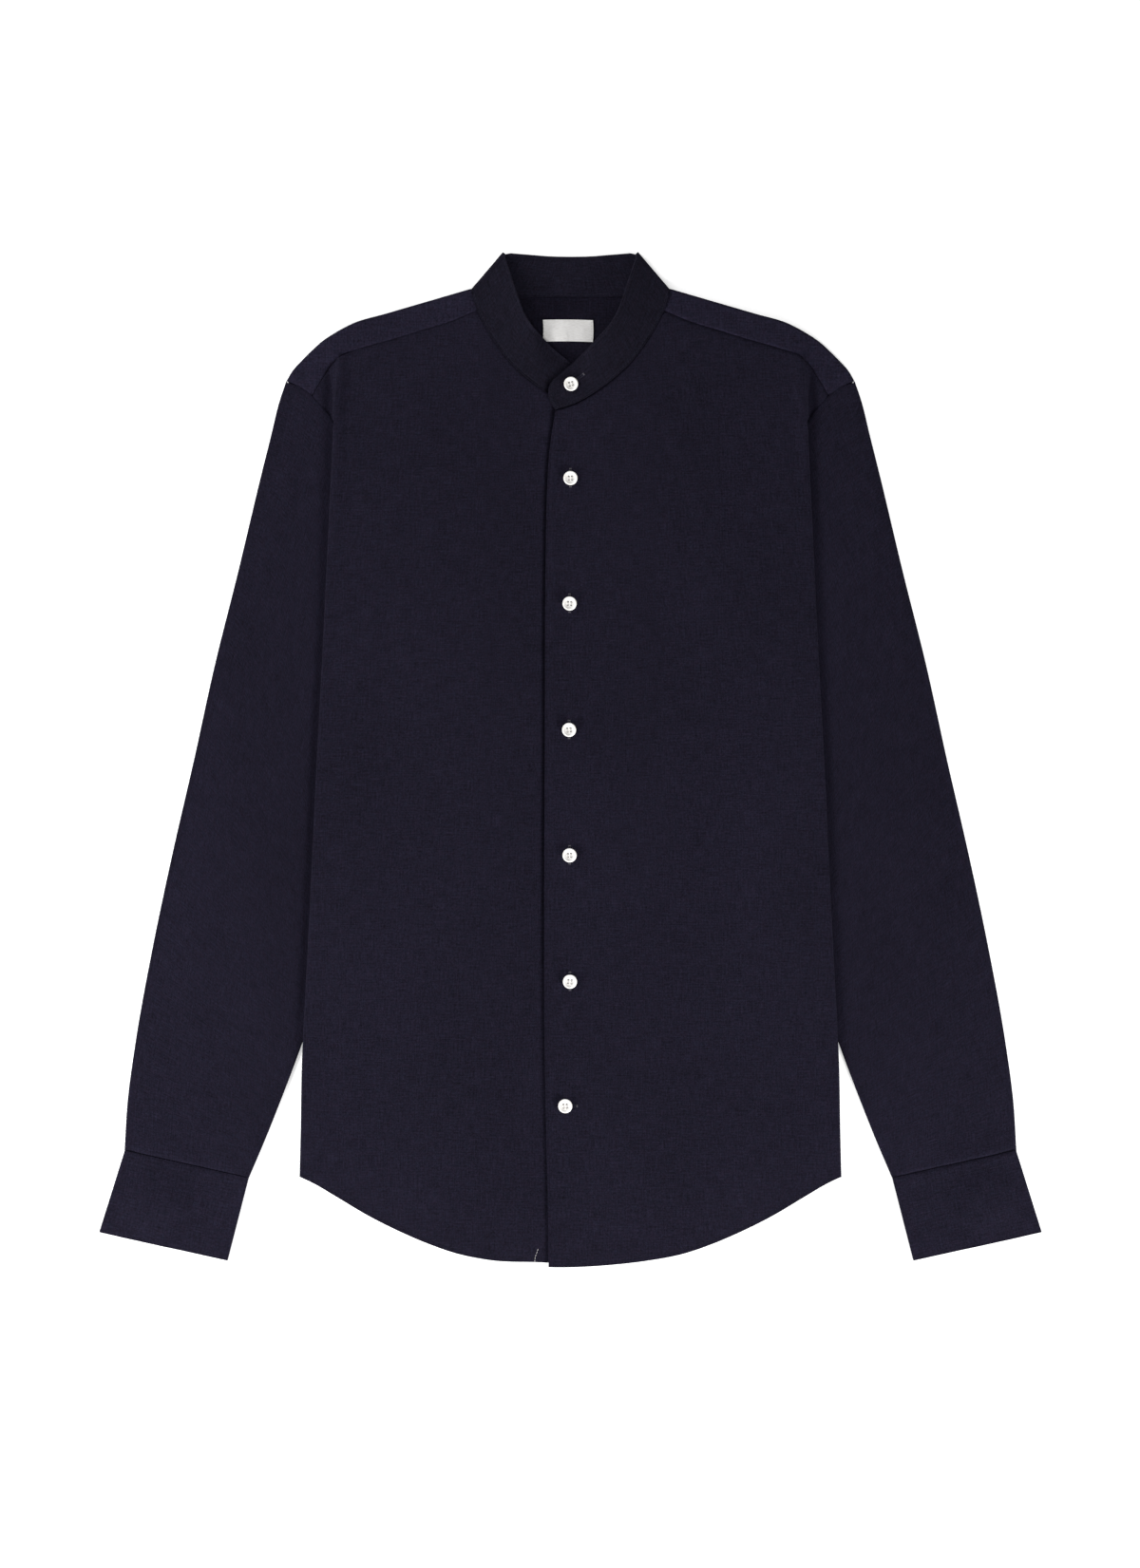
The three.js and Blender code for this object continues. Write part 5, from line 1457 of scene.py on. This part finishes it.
def build_buttons(left):
    """The buttons, their thread and their holes. The lowest hole of the front lies across it."""
    mesh = button_mesh()
    holes = Sewing("Buttonholes", NAVY_THREAD)
    bars = Sewing("Buttonhole_ends", GREY_THREAD)
    thread = Sewing("Button_thread", PALE_THREAD, "button")

    def on_placket(x, y):
        return left.height(x, y) + PLY / 2

    x, y = put_button("Button_collar", "button_collar", mesh, thread, COLLAR_BUTTON_TURN)
    buttonhole(holes, bars, (x + 4.4, y + 3.4), 38, on_collar)
    for k, degrees in enumerate(FRONT_BUTTON_TURNS, 1):
        x, y = put_button(f"Button_front_{k}", f"button_front_{k}", mesh, thread, degrees)
        if k < len(FRONT_BUTTON_TURNS):
            buttonhole(holes, bars, (x, y + 0.4), 90, on_placket)
        else:
            buttonhole(holes, bars, (x + 2.2, y), 0, on_placket)
    for side in ("left", "right"):
        put_button(f"Button_cuff_{side}", f"button_cuff_{side}", mesh, thread, CUFF_BUTTON_TURN, flip=True)
    holes.make()
    bars.make()
    thread.make()


# Label: a bare woven tape that waves a little, sewn down at both ends
LABEL_LENGTH = np.concatenate([[0, 0.4, 1], np.linspace(2.5, 36.5, 30), [38, 38.6, 39]])
LABEL_WIDTH = np.concatenate([[0, 0.3, 0.8], np.linspace(2, 15, 12), [16.2, 16.7, 17]])
LABEL_PLY = 0.42
LABEL_SEWN = (0.03, 0.97)  # shares of its length


def build_label():
    low, high = (np.array(c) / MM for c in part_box("label"))
    u, v = np.meshgrid(LABEL_LENGTH, LABEL_WIDTH, indexing="ij")
    a, b = u / LABEL_LENGTH[-1], v / LABEL_WIDTH[-1]
    x = mix(low[0], high[0], a) + 0.4 * np.sin(b * 3)
    y = mix(low[1], high[1], b) + 0.35 * np.sin(a * math.pi) - 0.3 * a
    z = low[2] + 0.1 + 0.28 * np.sin(a * 5.2 + 0.6) ** 2 * np.sin(math.pi * b)
    piece = shell("Label", np.stack([x, y, z], -1), LABEL_PLY, np.stack([u, v], -1), TAPE)
    place(piece, "label_tape", "label")

    sewing = Sewing("Label_stitches", PALE_THREAD, "label_tape")
    y = np.linspace(low[1] + 1, high[1] - 1, 12)
    for share in LABEL_SEWN:
        line = np.stack([y * 0 + mix(low[0], high[0], share), y, y * 0 + low[2] + 0.36], -1)
        sewing.row(line, pitch=2.2, length=1.7, radius=0.14)
    sewing.make()


# Floor, light and camera
PIXEL = 0.74  # millimetres a pixel of the picture at the shirt's height
WIDE, HIGH = 1200, 1651
CAMERA_HEIGHT = 5.0
PICTURE_CENTRE = (WIDE / 2 - 600.5, 800 - HIGH / 2)
SHIRT_LEVEL = 0.004
SENSOR = 36
FLOOR_REACH = 30
FLOOR_TONE = 0.93
FLOOR_GLOW = 0.45  # lifts the floor to white, as in the picture
WORLD_LIGHT = 0.43
LIGHTS = (  # name, place, side in metres, power in watts
    ("Left_light", (-1.2, -0.75, 0.55), 0.4, 21.5),
    ("Right_light", (1.2, -1.3, 0.55), 0.45, 42),
    ("Head_light", (-1.0, 0.9, 0.55), 0.6, 10.5),
)


def build_stage():
    r = FLOOR_REACH
    mesh = bpy.data.meshes.new("Floor")
    mesh.from_pydata([(-r, -r, 0), (r, -r, 0), (r, r, 0), (-r, r, 0)], [], [(0, 1, 2, 3)])
    floor = bpy.data.objects.new("Floor", mesh)
    bpy.context.scene.collection.objects.link(floor)
    pale = bpy.data.materials.new("Pale_floor")
    pale.use_nodes = True
    shader = pale.node_tree.nodes["Principled BSDF"]
    shader.inputs["Base Color"].default_value = (FLOOR_TONE, FLOOR_TONE, FLOOR_TONE, 1)
    shader.inputs["Roughness"].default_value = 0.9
    shader.inputs["Specular IOR Level"].default_value = 0.1
    shader.inputs["Emission Color"].default_value = (1, 1, 1, 1)
    shader.inputs["Emission Strength"].default_value = FLOOR_GLOW
    mesh.materials.append(pale)
    floor.location.z = -0.0001

    world = bpy.data.worlds.new("Studio")
    world.use_nodes = True
    background = world.node_tree.nodes["Background"]
    background.inputs["Color"].default_value = (1, 1, 1, 1)
    background.inputs["Strength"].default_value = WORLD_LIGHT
    bpy.context.scene.world = world
    for name, spot, size, power in LIGHTS:
        light = bpy.data.lights.new(name, "AREA")
        light.shape, light.size, light.energy = "SQUARE", size, power
        lamp = bpy.data.objects.new(name, light)
        bpy.context.scene.collection.objects.link(lamp)
        lamp.location = spot
        lamp.rotation_euler = (Vector(spot) * -1).to_track_quat("-Z", "Y").to_euler()

    camera = bpy.data.objects.new("Camera", bpy.data.cameras.new("Camera"))
    bpy.context.scene.collection.objects.link(camera)
    camera.location = (PICTURE_CENTRE[0] * PIXEL * MM, PICTURE_CENTRE[1] * PIXEL * MM, CAMERA_HEIGHT)
    camera.data.sensor_width = SENSOR
    camera.data.lens = SENSOR * (CAMERA_HEIGHT - SHIRT_LEVEL) / (HIGH * PIXEL * MM)
    camera.data.clip_start, camera.data.clip_end = 0.1, 50
    bpy.context.scene.camera = camera
    bpy.context.scene.view_settings.view_transform = "Standard"


build_stage()
left_front, right_front = build_fronts()
build_back()
build_yoke()
build_collar()
build_sleeves()
build_cuffs()
sew_hem(left_front, right_front)
sew_collar()
sew_cuffs()
build_buttons(left_front)
build_label()
